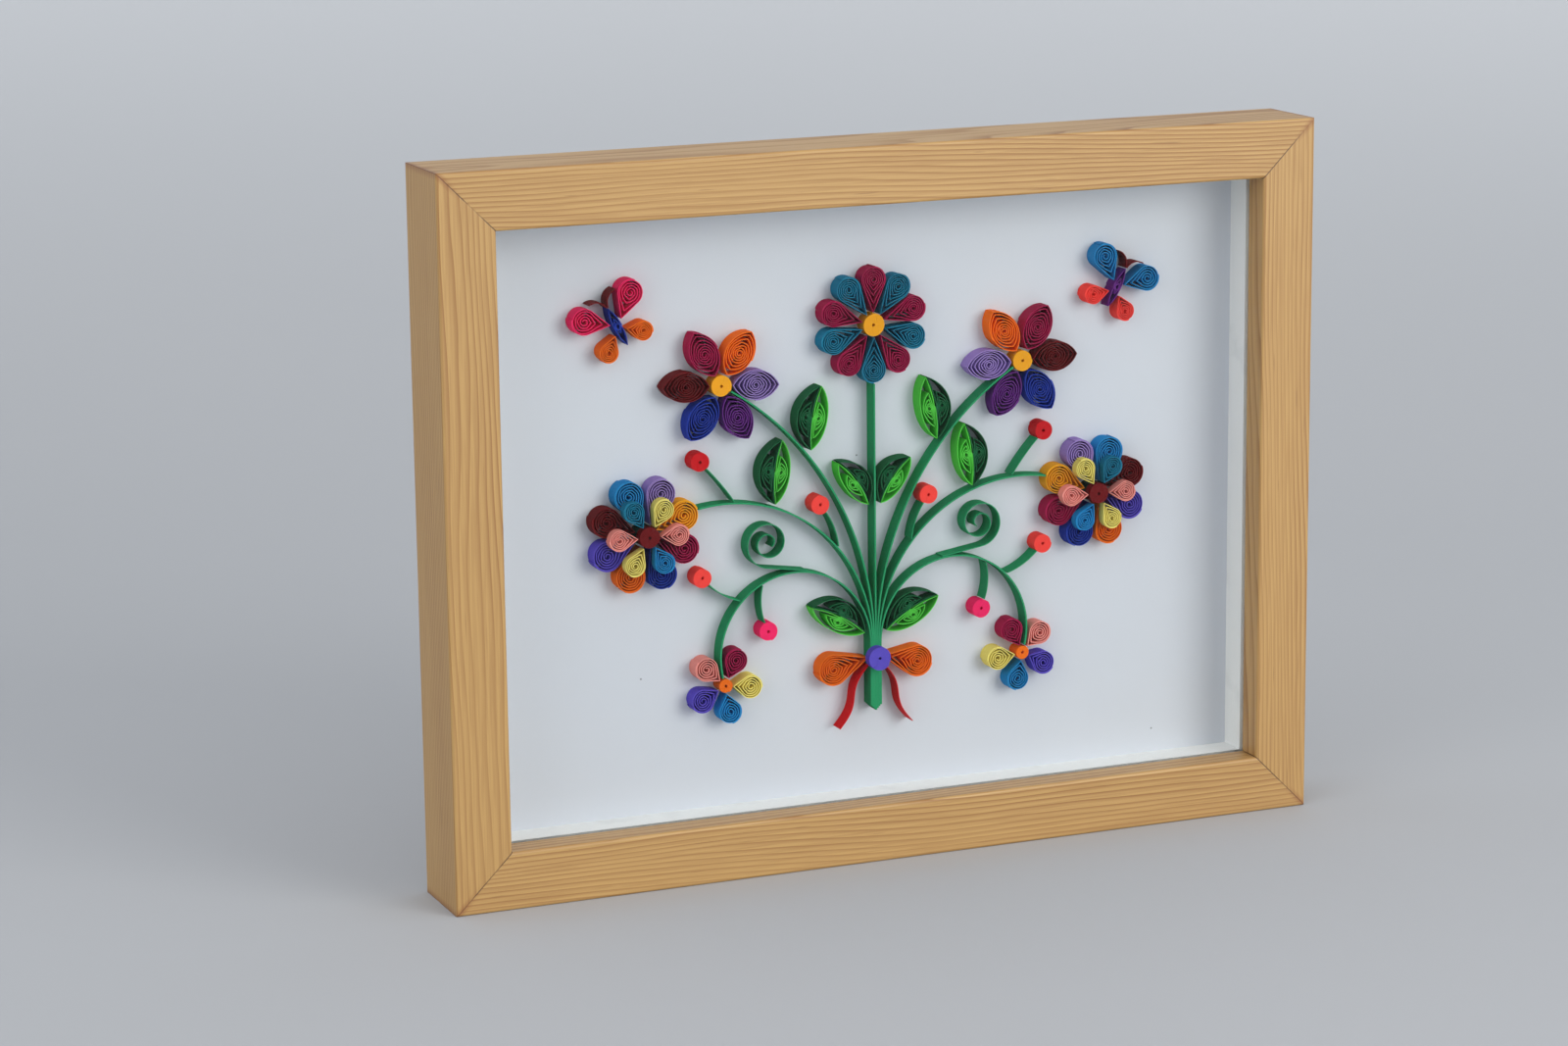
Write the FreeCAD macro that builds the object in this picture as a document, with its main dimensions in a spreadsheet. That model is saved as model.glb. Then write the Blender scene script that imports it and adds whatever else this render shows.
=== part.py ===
import FreeCAD, Part
import Sketcher
import cmath
import math
import os

# Quilled paper picture in a wooden box frame.
# Millimetres. X runs along the frame, Y runs from the front to the back and Z is up.
# The origin is the middle of the frame's footprint, at the level that it stands on.

doc = FreeCAD.newDocument("quilled_picture")

# Driving dimensions

SIZES = {
    # box frame
    "frame_width": 265.0,
    "frame_height": 205.0,
    "face_width": 16.5,
    "lip_width": 4.0,
    "lip_thickness": 8.5,
    "edge_rounding": 0.8,
    # what lies in the rebate, from the front to the back
    "fitting_gap": 0.5,
    "glass_thickness": 2.0,
    "spacer_width": 3.5,
    "air_gap": 1.1,
    "card_thickness": 0.4,
    "board_thickness": 3.0,
    "recess_depth": 4.0,
    # fixings
    "tab_length": 15.0,
    "tab_width": 6.0,
    "tab_thickness": 0.5,
    "tab_bite": 6.0,
    "wedge_leg": 5.0,
    "wedge_height": 8.0,
    "wedge_thickness": 0.5,
    "wedge_inset": 4.5,
    "hanger_length": 45.0,
    "hanger_height": 9.0,
    "hanger_metal": 0.8,
    "hanger_rise": 1.2,
    "hanger_foot": 8.0,
    "hanger_drop": 18.0,
    "tooth_height": 1.6,
    "rivet_radius": 0.9,
    "rivet_head_radius": 2.0,
    "rivet_head_height": 0.6,
    # paper
    "strip_depth": 5.0,
    "upper_strip_depth": 3.0,
    "paper_thickness": 0.25,
    "stem_thickness": 0.5,
    "glue_gap": 0.05,
    "turn_gap": 0.01,
    "eye_radius": 0.55,
    "roll_hole_radius": 0.45,
    # the opening's half width and half height that the motifs' own sizes below belong to
    "motif_half_width": 116.0,
    "motif_half_height": 86.0,
    "petal_gap": 0.4,
    # flowers
    "top_centre_radius": 3.2,
    "top_petal_reach": 9.3,
    "top_petal_radius": 3.7,
    "upper_centre_radius": 3.0,
    "upper_petal_length": 14.0,
    "upper_petal_width": 8.6,
    "middle_centre_radius": 3.0,
    "outer_petal_reach": 9.0,
    "outer_petal_radius": 4.3,
    "inner_petal_reach": 5.4,
    "inner_petal_radius": 3.0,
    "lower_centre_radius": 2.0,
    "lower_petal_reach": 5.4,
    "lower_petal_radius": 3.4,
    # leaves, berries, scrolls, bow and butterflies
    "leaf_length": 18.5,
    "leaf_width": 4.6,
    "leaf_bend": 1.2,
    "leaf_gap": 0.6,
    "berry_radius": 2.75,
    "twig_thickness": 0.3,
    "scroll_radius": 7.0,
    "scroll_run": 13.0,
    "bow_drop": 4.0,
    "loop_reach": 11.0,
    "loop_radius": 4.6,
    "knot_radius": 3.4,
    "tail_drop": 18.0,
    "tail_spread": 9.0,
    "tail_wave": 1.1,
    "wing_reach": 7.6,
    "wing_radius": 3.7,
    "hind_wing_reach": 5.0,
    "hind_wing_radius": 2.8,
    "butterfly_length": 12.0,
    "butterfly_width": 2.4,
    "feeler_length": 6.0,
}

# Layout, as shares of half the opening's width and height, from its middle

GATHER_SHARE = -0.49
FOOT_SHARE = -0.72
TOP_FLOWER_SHARE = 0.58
SHARES = {
    "upper_flower": (0.4, 0.42),
    "middle_flower": (0.6, -0.05),
    "lower_flower": (0.4, -0.58),
    "butterfly": (0.66, 0.64),
}

sheet = doc.addObject("Spreadsheet::Sheet", "Sizes")
for row, (alias, value) in enumerate(SIZES.items(), start=1):
    sheet.set(f"A{row}", alias)
    sheet.set(f"B{row}", str(value))
    sheet.setAlias(f"B{row}", alias)
doc.recompute()


def size(alias):
    """A driving dimension, as the sheet holds it."""
    return float(sheet.get(alias))


# Places that follow from the driving dimensions, as expressions on the sheet

SPACER_DEPTH = "(Sizes.strip_depth + Sizes.upper_strip_depth + Sizes.air_gap)"
CARD_LEVEL = f"(Sizes.lip_thickness + Sizes.glass_thickness + {SPACER_DEPTH})"
BOARD_LEVEL = f"({CARD_LEVEL} + Sizes.card_thickness)"
RECESS_LEVEL = f"({BOARD_LEVEL} + Sizes.board_thickness)"
FRAME_DEPTH = f"({RECESS_LEVEL} + Sizes.recess_depth)"
FRONT = f"(-{FRAME_DEPTH} / 2)"
REBATE_EDGE = "(Sizes.face_width - Sizes.lip_width)"
PANEL_WIDTH = f"(Sizes.frame_width - 2 * {REBATE_EDGE} - 2 * Sizes.fitting_gap)"
PANEL_HEIGHT = f"(Sizes.frame_height - 2 * {REBATE_EDGE} - 2 * Sizes.fitting_gap)"
MIDDLE_HEIGHT = "(Sizes.frame_height / 2)"


def worked_out(expression):
    """The number that an expression on the sheet gives."""
    return float(sheet.evalExpression(expression))


subparts = []


def keep(feature, label):
    """Name a finished sub-part and list it for writing."""
    feature.Label = label
    subparts.append(feature)
    return feature


def stand_at(feature, x="0", y="0", z="0"):
    """Bind a feature's place to expressions."""
    for axis, expression in (("x", x), ("y", y), ("z", z)):
        feature.setExpression(f".Placement.Base.{axis}", expression)


def sketch_on(body, plane_role, name):
    """An empty sketch on one of the body's own origin planes."""
    sketch = body.newObject("Sketcher::SketchObject", name)
    plane = [item for item in body.Origin.OriginFeatures if item.Role == plane_role][0]
    sketch.AttachmentSupport = (plane, [""])
    sketch.MapMode = "FlatFace"
    return sketch


def draw_polygon(sketch, corners):
    """A closed outline whose corners are pairs of expressions."""
    places = [FreeCAD.Vector(worked_out(across), worked_out(up), 0) for across, up in corners]
    first_line = sketch.GeometryCount
    count = len(places)
    for index in range(count):
        sketch.addGeometry(Part.LineSegment(places[index], places[(index + 1) % count]), False)
    for index in range(count):
        line = first_line + index
        following = first_line + (index + 1) % count
        sketch.addConstraint(Sketcher.Constraint("Coincident", line, 2, following, 1))
    for index, (across, up) in enumerate(corners):
        line = first_line + index
        pinned = (("DistanceX", across, places[index].x), ("DistanceY", up, places[index].y))
        for kind, expression, value in pinned:
            number = sketch.addConstraint(Sketcher.Constraint(kind, -1, 1, line, 1, value))
            sketch.setExpression(f"Constraints[{number}]", expression)


def draw_circle(sketch, across, up, radius):
    """A circle whose centre and radius are expressions."""
    middle = FreeCAD.Vector(worked_out(across), worked_out(up), 0)
    circle = sketch.addGeometry(Part.Circle(middle, FreeCAD.Vector(0, 0, 1), worked_out(radius)), False)
    pinned = (("DistanceX", across, middle.x), ("DistanceY", up, middle.y))
    for kind, expression, value in pinned:
        number = sketch.addConstraint(Sketcher.Constraint(kind, -1, 1, circle, 3, value))
        sketch.setExpression(f"Constraints[{number}]", expression)
    number = sketch.addConstraint(Sketcher.Constraint("Radius", circle, worked_out(radius)))
    sketch.setExpression(f"Constraints[{number}]", radius)


def pad(body, sketch, name, length, side_type="One side"):
    """A pad whose length is an expression."""
    feature = body.newObject("PartDesign::Pad", name)
    feature.Profile = sketch
    feature.SideType = side_type
    feature.setExpression("Length", length)
    return feature


def pocket(body, sketch, name, length):
    """A cut to both sides of its sketch, whose whole length is an expression."""
    feature = body.newObject("PartDesign::Pocket", name)
    feature.Profile = sketch
    feature.SideType = "Symmetric"
    feature.setExpression("Length", length)
    return feature


# Box frame: four lengths of moulding, rebated at the back and mitred at the corners


def rail_blank(name, length):
    """One mitred rail along X, its outer edge down and its sight edge up."""
    body = doc.addObject("PartDesign::Body", name)
    back = f"({FRAME_DEPTH} / 2)"
    lip_back = f"({FRONT} + Sizes.lip_thickness)"
    profile = sketch_on(body, "YZ_Plane", f"{name}_profile")
    draw_polygon(profile, [
        (FRONT, "0"),
        (FRONT, "Sizes.face_width"),
        (lip_back, "Sizes.face_width"),
        (lip_back, REBATE_EDGE),
        (back, REBATE_EDGE),
        (back, "0"),
    ])
    bar = pad(body, profile, f"{name}_bar", length, "Symmetric")
    doc.recompute()
    front_place = worked_out(FRONT)
    back_place = worked_out(back)
    sight_place = size("face_width")
    rounded = ((front_place, 0), (front_place, sight_place), (back_place, 0))
    chosen = []
    for number, edge in enumerate(bar.Shape.Edges, start=1):
        centre = edge.CenterOfMass
        along = abs(edge.tangentAt(edge.FirstParameter).x) > 0.9
        near = any(math.hypot(centre.y - y, centre.z - z) < 0.01 for y, z in rounded)
        if along and near:
            chosen.append(f"Edge{number}")
    rounding = body.newObject("PartDesign::Fillet", f"{name}_rounding")
    rounding.Base = (bar, chosen)
    rounding.setExpression("Radius", "Sizes.edge_rounding")
    mitres = sketch_on(body, "XZ_Plane", f"{name}_mitres")
    for end in ("", "-"):
        outer = f"{end}({length} / 2)"
        inner = f"{end}({length} / 2 - Sizes.face_width)"
        beyond = f"{end}({length} / 2 + Sizes.face_width)"
        draw_polygon(mitres, [(outer, "0"), (beyond, "0"), (beyond, "Sizes.face_width"),
                              (inner, "Sizes.face_width")])
    pocket(body, mitres, f"{name}_mitre_cuts", f"2 * {FRAME_DEPTH}")
    return body


rails = [
    ("rail_bottom", "Sizes.frame_width", 0, "0", "0"),
    ("rail_top", "Sizes.frame_width", 180, "0", "Sizes.frame_height"),
    ("rail_left", "Sizes.frame_height", 90, "-Sizes.frame_width / 2", MIDDLE_HEIGHT),
    ("rail_right", "Sizes.frame_height", -90, "Sizes.frame_width / 2", MIDDLE_HEIGHT),
]

# Steel wedges, driven into the back of each mitre


def corner_wedge(name, right, up):
    """An angle of sheet steel across one mitre, flush with the frame's back."""
    body = doc.addObject("PartDesign::Body", name)
    outline = sketch_on(body, "XZ_Plane", f"{name}_outline")

    def place(across, height):
        x = f"{right}(Sizes.frame_width / 2 - Sizes.wedge_inset - {across})"
        z = f"({MIDDLE_HEIGHT} {up} ({MIDDLE_HEIGHT} - Sizes.wedge_inset - {height}))"
        return (x, z)

    thick = "Sizes.wedge_thickness"
    leg = "Sizes.wedge_leg"
    draw_polygon(outline, [place("0", "0"), place(leg, "0"), place(leg, thick),
                           place(thick, thick), place(thick, leg), place("0", leg)])
    pad(body, outline, f"{name}_pad", "Sizes.wedge_height")
    stand_at(body, y=f"{FRAME_DEPTH} / 2")
    return body


wedges = doc.addObject("Part::Compound", "wedges")
wedges.Links = [
    corner_wedge(f"wedge_{number}", right, up)
    for number, (right, up) in enumerate((("", "+"), ("", "-"), ("-", "+"), ("-", "-")), start=1)
]

# Bendable steel points, driven into the rebate's wall to hold the backboard down


def backboard_tab(name, x, z, lengthwise):
    """One flat point on the back of the backboard, with its low corner at x and z."""
    box = doc.addObject("Part::Box", name)
    box.setExpression("Length", "Sizes.tab_length" if lengthwise else "Sizes.tab_width")
    box.setExpression("Height", "Sizes.tab_width" if lengthwise else "Sizes.tab_length")
    box.setExpression("Width", "Sizes.tab_thickness")
    stand_at(box, x, f"{FRONT} + {RECESS_LEVEL}", z)
    return box


# Where the points stand, as shares of the frame's width from its middle and of its height
TABS_ALONG = (-0.3, 0.0, 0.3)
TABS_UP = (0.3, 0.7)

tab_boxes = []
for share in TABS_ALONG:
    x = f"{share} * Sizes.frame_width - Sizes.tab_width / 2"
    low = f"{REBATE_EDGE} - Sizes.tab_bite"
    high = f"Sizes.frame_height - {REBATE_EDGE} + Sizes.tab_bite - Sizes.tab_length"
    tab_boxes.append(backboard_tab(f"tab_{len(tab_boxes) + 1}", x, low, False))
    tab_boxes.append(backboard_tab(f"tab_{len(tab_boxes) + 1}", x, high, False))
for share in TABS_UP:
    z = f"{share} * Sizes.frame_height - Sizes.tab_width / 2"
    left = f"-Sizes.frame_width / 2 + {REBATE_EDGE} - Sizes.tab_bite"
    right = f"Sizes.frame_width / 2 - {REBATE_EDGE} + Sizes.tab_bite - Sizes.tab_length"
    tab_boxes.append(backboard_tab(f"tab_{len(tab_boxes) + 1}", left, z, True))
    tab_boxes.append(backboard_tab(f"tab_{len(tab_boxes) + 1}", right, z, True))
tabs = doc.addObject("Part::Compound", "tabs")
tabs.Links = tab_boxes

fixings = doc.addObject("Part::Compound", "fixings")
fixings.Links = [wedges, tabs]

for label, length, turned, x, z in rails:
    blank = rail_blank(f"{label}_blank", length)
    blank.Placement.Rotation = FreeCAD.Rotation(FreeCAD.Vector(0, 1, 0), turned)
    stand_at(blank, x=x, z=z)
    slotted = doc.addObject("Part::Cut", label)
    slotted.Base = blank
    slotted.Tool = fixings
    keep(slotted, label)

keep(wedges, "corner_wedges")

# Glass, backing card and backboard: three sheets of the rebate's size


def sheet_body(name, level, thickness):
    """A sheet that fills the rebate, its front at a level behind the frame's front."""
    body = doc.addObject("PartDesign::Body", name)
    outline = sketch_on(body, "XZ_Plane", f"{name}_outline")
    left, right = f"-{PANEL_WIDTH} / 2", f"{PANEL_WIDTH} / 2"
    low = f"{MIDDLE_HEIGHT} - {PANEL_HEIGHT} / 2"
    high = f"{MIDDLE_HEIGHT} + {PANEL_HEIGHT} / 2"
    draw_polygon(outline, [(left, low), (right, low), (right, high), (left, high)])
    pad(body, outline, f"{name}_pad", thickness)
    stand_at(body, y=f"{FRONT} + {level} + {thickness}")
    return body


keep(sheet_body("glass", "Sizes.lip_thickness", "Sizes.glass_thickness"), "glass_pane")

# White spacer strips, which hold the card away from the glass


def spacer(label, width, height, x, z):
    """One strip between the glass and the card."""
    strip = doc.addObject("Part::Box", label)
    strip.setExpression("Length", width)
    strip.setExpression("Width", SPACER_DEPTH)
    strip.setExpression("Height", height)
    stand_at(strip, x, f"{FRONT} + Sizes.lip_thickness + Sizes.glass_thickness", z)
    keep(strip, label)


panel_left = f"-{PANEL_WIDTH} / 2"
panel_low = f"{MIDDLE_HEIGHT} - {PANEL_HEIGHT} / 2"
panel_high = f"{MIDDLE_HEIGHT} + {PANEL_HEIGHT} / 2"
side_height = f"{PANEL_HEIGHT} - 2 * Sizes.spacer_width"
side_low = f"{panel_low} + Sizes.spacer_width"
spacer("spacer_bottom", PANEL_WIDTH, "Sizes.spacer_width", panel_left, panel_low)
spacer("spacer_top", PANEL_WIDTH, "Sizes.spacer_width", panel_left, f"{panel_high} - Sizes.spacer_width")
spacer("spacer_left", "Sizes.spacer_width", side_height, panel_left, side_low)
spacer("spacer_right", "Sizes.spacer_width", side_height,
       f"{PANEL_WIDTH} / 2 - Sizes.spacer_width", side_low)

keep(sheet_body("card", CARD_LEVEL, "Sizes.card_thickness"), "backing_card")

# Backboard, with the two holes of the hanger's rivets

HANGER_LEVEL = f"({MIDDLE_HEIGHT} + {PANEL_HEIGHT} / 2 - Sizes.hanger_drop)"
RIVET_SIDE = "(Sizes.hanger_length / 2 - Sizes.hanger_foot / 2)"

board = sheet_body("board", BOARD_LEVEL, "Sizes.board_thickness")
board_holes = sketch_on(board, "XZ_Plane", "board_holes")
for sign in ("-", ""):
    draw_circle(board_holes, f"{sign}{RIVET_SIDE}", HANGER_LEVEL, "Sizes.rivet_radius")
pocket(board, board_holes, "board_hole_cuts", "4 * Sizes.board_thickness")
keep(board, "backboard")
keep(tabs, "backboard_tabs")

# Sawtooth hanger: a bent steel strip on the backboard, with teeth along its lower edge

hanger = doc.addObject("PartDesign::Body", "hanger")
hanger_bend = sketch_on(hanger, "XY_Plane", "hanger_bend")
end = "(Sizes.hanger_length / 2)"
foot = f"({end} - Sizes.hanger_foot)"
shoulder = f"({foot} - Sizes.hanger_rise)"
metal = "Sizes.hanger_metal"
raised = "Sizes.hanger_rise"
draw_polygon(hanger_bend, [
    (f"-{end}", "0"), (f"-{foot}", "0"), (f"-{shoulder}", raised), (shoulder, raised),
    (foot, "0"), (end, "0"), (end, metal), (foot, metal),
    (shoulder, f"{raised} + {metal}"), (f"-{shoulder}", f"{raised} + {metal}"),
    (f"-{foot}", metal), (f"-{end}", metal),
])
pad(hanger, hanger_bend, "hanger_strip", "Sizes.hanger_height", "Symmetric")
hanger_cuts = sketch_on(hanger, "XZ_Plane", "hanger_cuts")
TOOTH_COUNT = 12
for number in range(TOOTH_COUNT):
    from_share = 2 * number / TOOTH_COUNT - 1
    to_share = 2 * (number + 1) / TOOTH_COUNT - 1
    middle_share = (from_share + to_share) / 2
    draw_polygon(hanger_cuts, [
        (f"{from_share} * {shoulder}", "-Sizes.hanger_height / 2 - Sizes.tooth_height"),
        (f"{to_share} * {shoulder}", "-Sizes.hanger_height / 2 - Sizes.tooth_height"),
        (f"{middle_share} * {shoulder}", "-Sizes.hanger_height / 2 + Sizes.tooth_height"),
    ])
for sign in ("-", ""):
    draw_circle(hanger_cuts, f"{sign}{RIVET_SIDE}", "0", "Sizes.rivet_radius")
pocket(hanger, hanger_cuts, "hanger_cut", f"4 * ({raised} + {metal})")
stand_at(hanger, y=f"{FRONT} + {RECESS_LEVEL}", z=HANGER_LEVEL)
keep(hanger, "sawtooth_hanger")


def hanger_rivet(name, sign):
    """A headed pin through the hanger's foot and the backboard."""
    parts = []
    lengths = (
        ("shank", "Sizes.rivet_radius", f"Sizes.board_thickness + {metal}", BOARD_LEVEL),
        ("head", "Sizes.rivet_head_radius", "Sizes.rivet_head_height", f"{RECESS_LEVEL} + {metal}"),
    )
    for piece, radius, length, level in lengths:
        cylinder = doc.addObject("Part::Cylinder", f"{name}_{piece}")
        cylinder.Placement.Rotation = FreeCAD.Rotation(FreeCAD.Vector(1, 0, 0), -90)
        cylinder.setExpression("Radius", radius)
        cylinder.setExpression("Height", length)
        stand_at(cylinder, f"{sign}{RIVET_SIDE}", f"{FRONT} + {level}", HANGER_LEVEL)
        parts.append(cylinder)
    pin = doc.addObject("Part::Fuse", name)
    pin.Base, pin.Tool = parts
    return pin


rivets = doc.addObject("Part::Compound", "rivets")
rivets.Links = [hanger_rivet("rivet_left", "-"), hanger_rivet("rivet_right", "")]
keep(rivets, "hanger_rivets")

# Paper strips on edge. A flat point is a complex number: its real part runs to the right
# and its imaginary part up, from the middle of the opening.

CARD_FRONT = worked_out(f"{FRONT} + {CARD_LEVEL}")
MIDDLE = worked_out(MIDDLE_HEIGHT)
HALF_WIDTH = worked_out("Sizes.frame_width / 2 - Sizes.face_width")
HALF_HEIGHT = worked_out("Sizes.frame_height / 2 - Sizes.face_width")
PAPER = size("paper_thickness")
STEM = size("stem_thickness")
GLUE_GAP = size("glue_gap")
STRIP_DEPTH = size("strip_depth")
MOTIF_SCALE = min(HALF_WIDTH / size("motif_half_width"), HALF_HEIGHT / size("motif_half_height"))
UPPER_DEPTH = size("upper_strip_depth")
STEPS_PER_TURN = 16
STRAIGHT_WITHIN = 0.002


def motif(alias):
    """A motif's size, which grows and shrinks with the opening. Paper keeps its thickness."""
    return MOTIF_SCALE * size(alias)


def heading(degrees):
    """A flat step of length one in a direction."""
    return cmath.exp(1j * math.radians(degrees))


def in_space(point, level=0.0):
    """A flat point, a height in front of the card."""
    return FreeCAD.Vector(point.real, CARD_FRONT - level, MIDDLE + point.imag)


def moved_aside(points, distance):
    """Points moved to the left of their line, mitred where it turns."""
    moved = []
    for index, point in enumerate(points):
        arriving = point - points[index - 1] if index else points[1] - point
        leaving = points[index + 1] - point if index < len(points) - 1 else arriving
        bisector = arriving / abs(arriving) + leaving / abs(leaving)
        moved.append(point + 2j * distance * bisector / abs(bisector) ** 2)
    return moved


def side_edges(points, pinches, level):
    """Arcs through each three points in turn, from pinch to pinch, or straight runs."""
    places = [in_space(point, level) for point in points]
    marks = [0] + list(pinches) + [len(points) - 1]
    edges = []
    for first, last in zip(marks, marks[1:]):
        for start in range(first, last, 2):
            run = places[start:min(start + 2, last) + 1]
            chord = run[-1] - run[0]
            bow = run[1].distanceToLine(run[0], chord)
            if bow > STRAIGHT_WITHIN:
                edges.append(Part.Arc(*run).toShape())
            else:
                edges.append(Part.LineSegment(run[0], run[-1]).toShape())
    return edges


def paper_strip(points, thickness, depth=STRIP_DEPTH, level=0.0, pinches=()):
    """A strip of paper that stands on edge along a line of flat points."""
    left = moved_aside(points, thickness / 2)
    right = moved_aside(points, -thickness / 2)
    edges = side_edges(left, pinches, level) + side_edges(right, pinches, level)
    for first, last in ((left[0], right[0]), (left[-1], right[-1])):
        edges.append(Part.LineSegment(in_space(first, level), in_space(last, level)).toShape())
    outline = Part.Wire(Part.__sortEdges__(edges))
    return Part.Face(outline).extrude(FreeCAD.Vector(0, -depth, 0))


def tight_roll(place, radius, depth=STRIP_DEPTH, level=0.0):
    """A tight coil: its turns touch, so it is a disc with a small hole."""
    toward_viewer = FreeCAD.Vector(0, -1, 0)
    disc = Part.makeCylinder(radius, depth, in_space(place, level), toward_viewer)
    hole = Part.makeCylinder(size("roll_hole_radius"), depth, in_space(place, level), toward_viewer)
    return disc.cut(hole)


def shaped_coil(reach, pinch_angles, seam, turns, place, turned, depth=STRIP_DEPTH, level=0.0,
                bend=0.0, span=1.0, mirrored=False):
    """A loose coil pinched to an outline: its outer turn follows it and its inner turns are round.

    reach gives the outline's distance from the coil's centre in a direction, in radians.
    The last turn closes on the one before at the seam, where the outline is nearest. A coil
    too slim for the turns asked of it has as many as its paper leaves room for there.
    """
    slim = reach(seam)
    room = slim - size("eye_radius") - PAPER - GLUE_GAP
    turns = min(turns, 1 + max(0, int(room / (PAPER + size("turn_gap")))))
    closing = 1 - (PAPER + GLUE_GAP) / slim
    opening = size("eye_radius") / slim
    marks = [0.0] + sorted((angle - seam) % (2 * math.pi) for angle in pinch_angles) + [2 * math.pi]
    turn_angles = []
    pinched = []
    for first, last in zip(marks, marks[1:]):
        if first:
            pinched.append(len(turn_angles))
        count = 2 * max(1, round(STEPS_PER_TURN * (last - first) / (4 * math.pi)))
        turn_angles += [first + (last - first) * step / count for step in range(count)]
    points = []
    pinches = []
    for turn in range(turns):
        pinches += [len(points) + index for index in pinched]
        for angle in turn_angles + ([2 * math.pi] if turn == turns - 1 else []):
            progress = turn + angle / (2 * math.pi)
            direction = seam + angle
            if progress < turns - 1:
                share = opening + (closing - opening) * progress / (turns - 1)
                pinched_share = share ** 2
                distance = share * ((1 - pinched_share) * slim + pinched_share * reach(direction))
            else:
                distance = reach(direction) - (turns - progress) * (PAPER + GLUE_GAP)
            local = distance * cmath.exp(1j * direction)
            local += 1j * bend * (local.real / span) ** 2
            points.append(local.conjugate() if mirrored else local)
    placed = [place + point * heading(turned) for point in points]
    return paper_strip(placed, PAPER, depth, level, pinches)


def teardrop(place, turned, length, radius, turns=4, **how):
    """A coil round the place, with one pinched tip at a length in the turned direction."""
    half_angle = math.acos(radius / length)

    def reach(direction):
        off_tip = abs((direction + math.pi) % (2 * math.pi) - math.pi)
        return radius / math.cos(max(0.0, half_angle - off_tip))

    return shaped_coil(reach, [0.0], math.pi, turns, place, turned, **how)


def eye_coil(place, turned, length, width, turns=4, **how):
    """A coil pinched at both ends, its two sides arcs."""
    sagitta = width / 2
    arc_radius = ((length / 2) ** 2 + sagitta ** 2) / (2 * sagitta)
    drop = arc_radius - sagitta

    def reach(direction):
        chord = arc_radius ** 2 - (drop * math.cos(direction)) ** 2
        return math.sqrt(chord) - drop * abs(math.sin(direction))

    return shaped_coil(reach, [0.0, math.pi], math.pi / 2, turns, place, turned, **how)


# How far the coil's middle lies above the midrib, as a share of the half leaf's width
LEAF_RISE = 0.42


def half_leaf(root, turned, length, width, bend, far_side, turns=4):
    """Half of a leaf: a coil with a straight side along the midrib and a round one."""
    arc_radius = ((length / 2) ** 2 + width ** 2) / (2 * width)
    rise = LEAF_RISE * width
    drop = arc_radius - width + rise

    def reach(direction):
        up = math.sin(direction)
        round_side = math.sqrt(arc_radius ** 2 - (drop * math.cos(direction)) ** 2) - drop * up
        if up < 0:
            return min(round_side, -rise / up)
        return round_side

    tip = math.atan2(-rise, length / 2)
    tips = [tip, math.pi - tip]
    off_midrib = rise + PAPER / 2 + GLUE_GAP / 2
    middle = complex(length / 2, off_midrib)

    # The curve of the midrib starts at the leaf's middle, so both halves share it.
    local = middle.conjugate() if far_side else middle
    place = root + local * heading(turned)
    side = -bend if far_side else bend
    return shaped_coil(reach, tips, -math.pi / 2, turns, place, turned, bend=side,
                       span=length / 2, mirrored=far_side)


def group(label, shapes):
    """One node of one or more separate strips."""
    feature = doc.addObject("Part::Feature", label)
    feature.Shape = shapes[0] if len(shapes) == 1 else Part.makeCompound(shapes)
    feature.Placement = FreeCAD.Placement()
    return keep(feature, label)


# Stems: strips glued side by side below the gather, which part there into arcs


def place_of(name):
    """A flower's or a butterfly's middle, on the right-hand side."""
    across, up = SHARES[name]
    return complex(across * HALF_WIDTH, up * HALF_HEIGHT)


GATHER_LEVEL = GATHER_SHARE * HALF_HEIGHT
FOOT_LEVEL = FOOT_SHARE * HALF_HEIGHT
TOP_FLOWER = complex(0, TOP_FLOWER_SHARE * HALF_HEIGHT)
UPPER_FLOWER = place_of("upper_flower")
MIDDLE_FLOWER = place_of("middle_flower")
LOWER_FLOWER = place_of("lower_flower")

TOP_FLOWER_RADIUS = (motif("top_centre_radius") + motif("top_petal_reach")
                     + motif("top_petal_radius"))
MIDDLE_FLOWER_RADIUS = (motif("middle_centre_radius") + motif("outer_petal_reach")
                        + motif("outer_petal_radius"))
CENTRE_GAP = size("petal_gap")


class ArcStem:
    """A stem that rises from the gather and bends to the right in one arc towards a flower."""

    def __init__(self, rank, flower, kept_clear):
        self.flower = flower
        self.start = complex(rank * STEM, GATHER_LEVEL)
        self.foot = complex(rank * STEM, FOOT_LEVEL + rank * STEM)
        away = flower - self.start
        self.radius = abs(away) ** 2 / (2 * away.real)
        self.centre = self.start + self.radius
        whole = 2 * math.asin(min(1.0, abs(away) / (2 * self.radius)))
        if away.imag < 0:
            whole = 2 * math.pi - whole
        self.whole = whole
        self.sweep = self.angle_before(kept_clear + CENTRE_GAP)

    def angle_before(self, distance):
        """How far the arc has turned when it is a distance short of the flower's middle."""
        return self.whole - 2 * math.asin(distance / (2 * self.radius))

    def arrival(self, distance):
        """The direction from the flower's middle to the stem, at a distance from it, in degrees."""
        point = self.centre - self.radius * cmath.exp(-1j * self.angle_before(distance))
        return math.degrees(cmath.phase(point - self.flower))

    def at(self, share, aside=0.0):
        """A point a share of the way along the arc, moved to its outer side."""
        angle = math.pi - share * self.sweep
        return self.centre + (self.radius + aside) * cmath.exp(1j * angle)

    def direction(self, share):
        """Which way the arc runs there, in degrees."""
        return 90 - math.degrees(share * self.sweep)

    def points(self):
        count = 16
        return [self.foot] + [self.at(step / count) for step in range(count + 1)]


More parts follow.
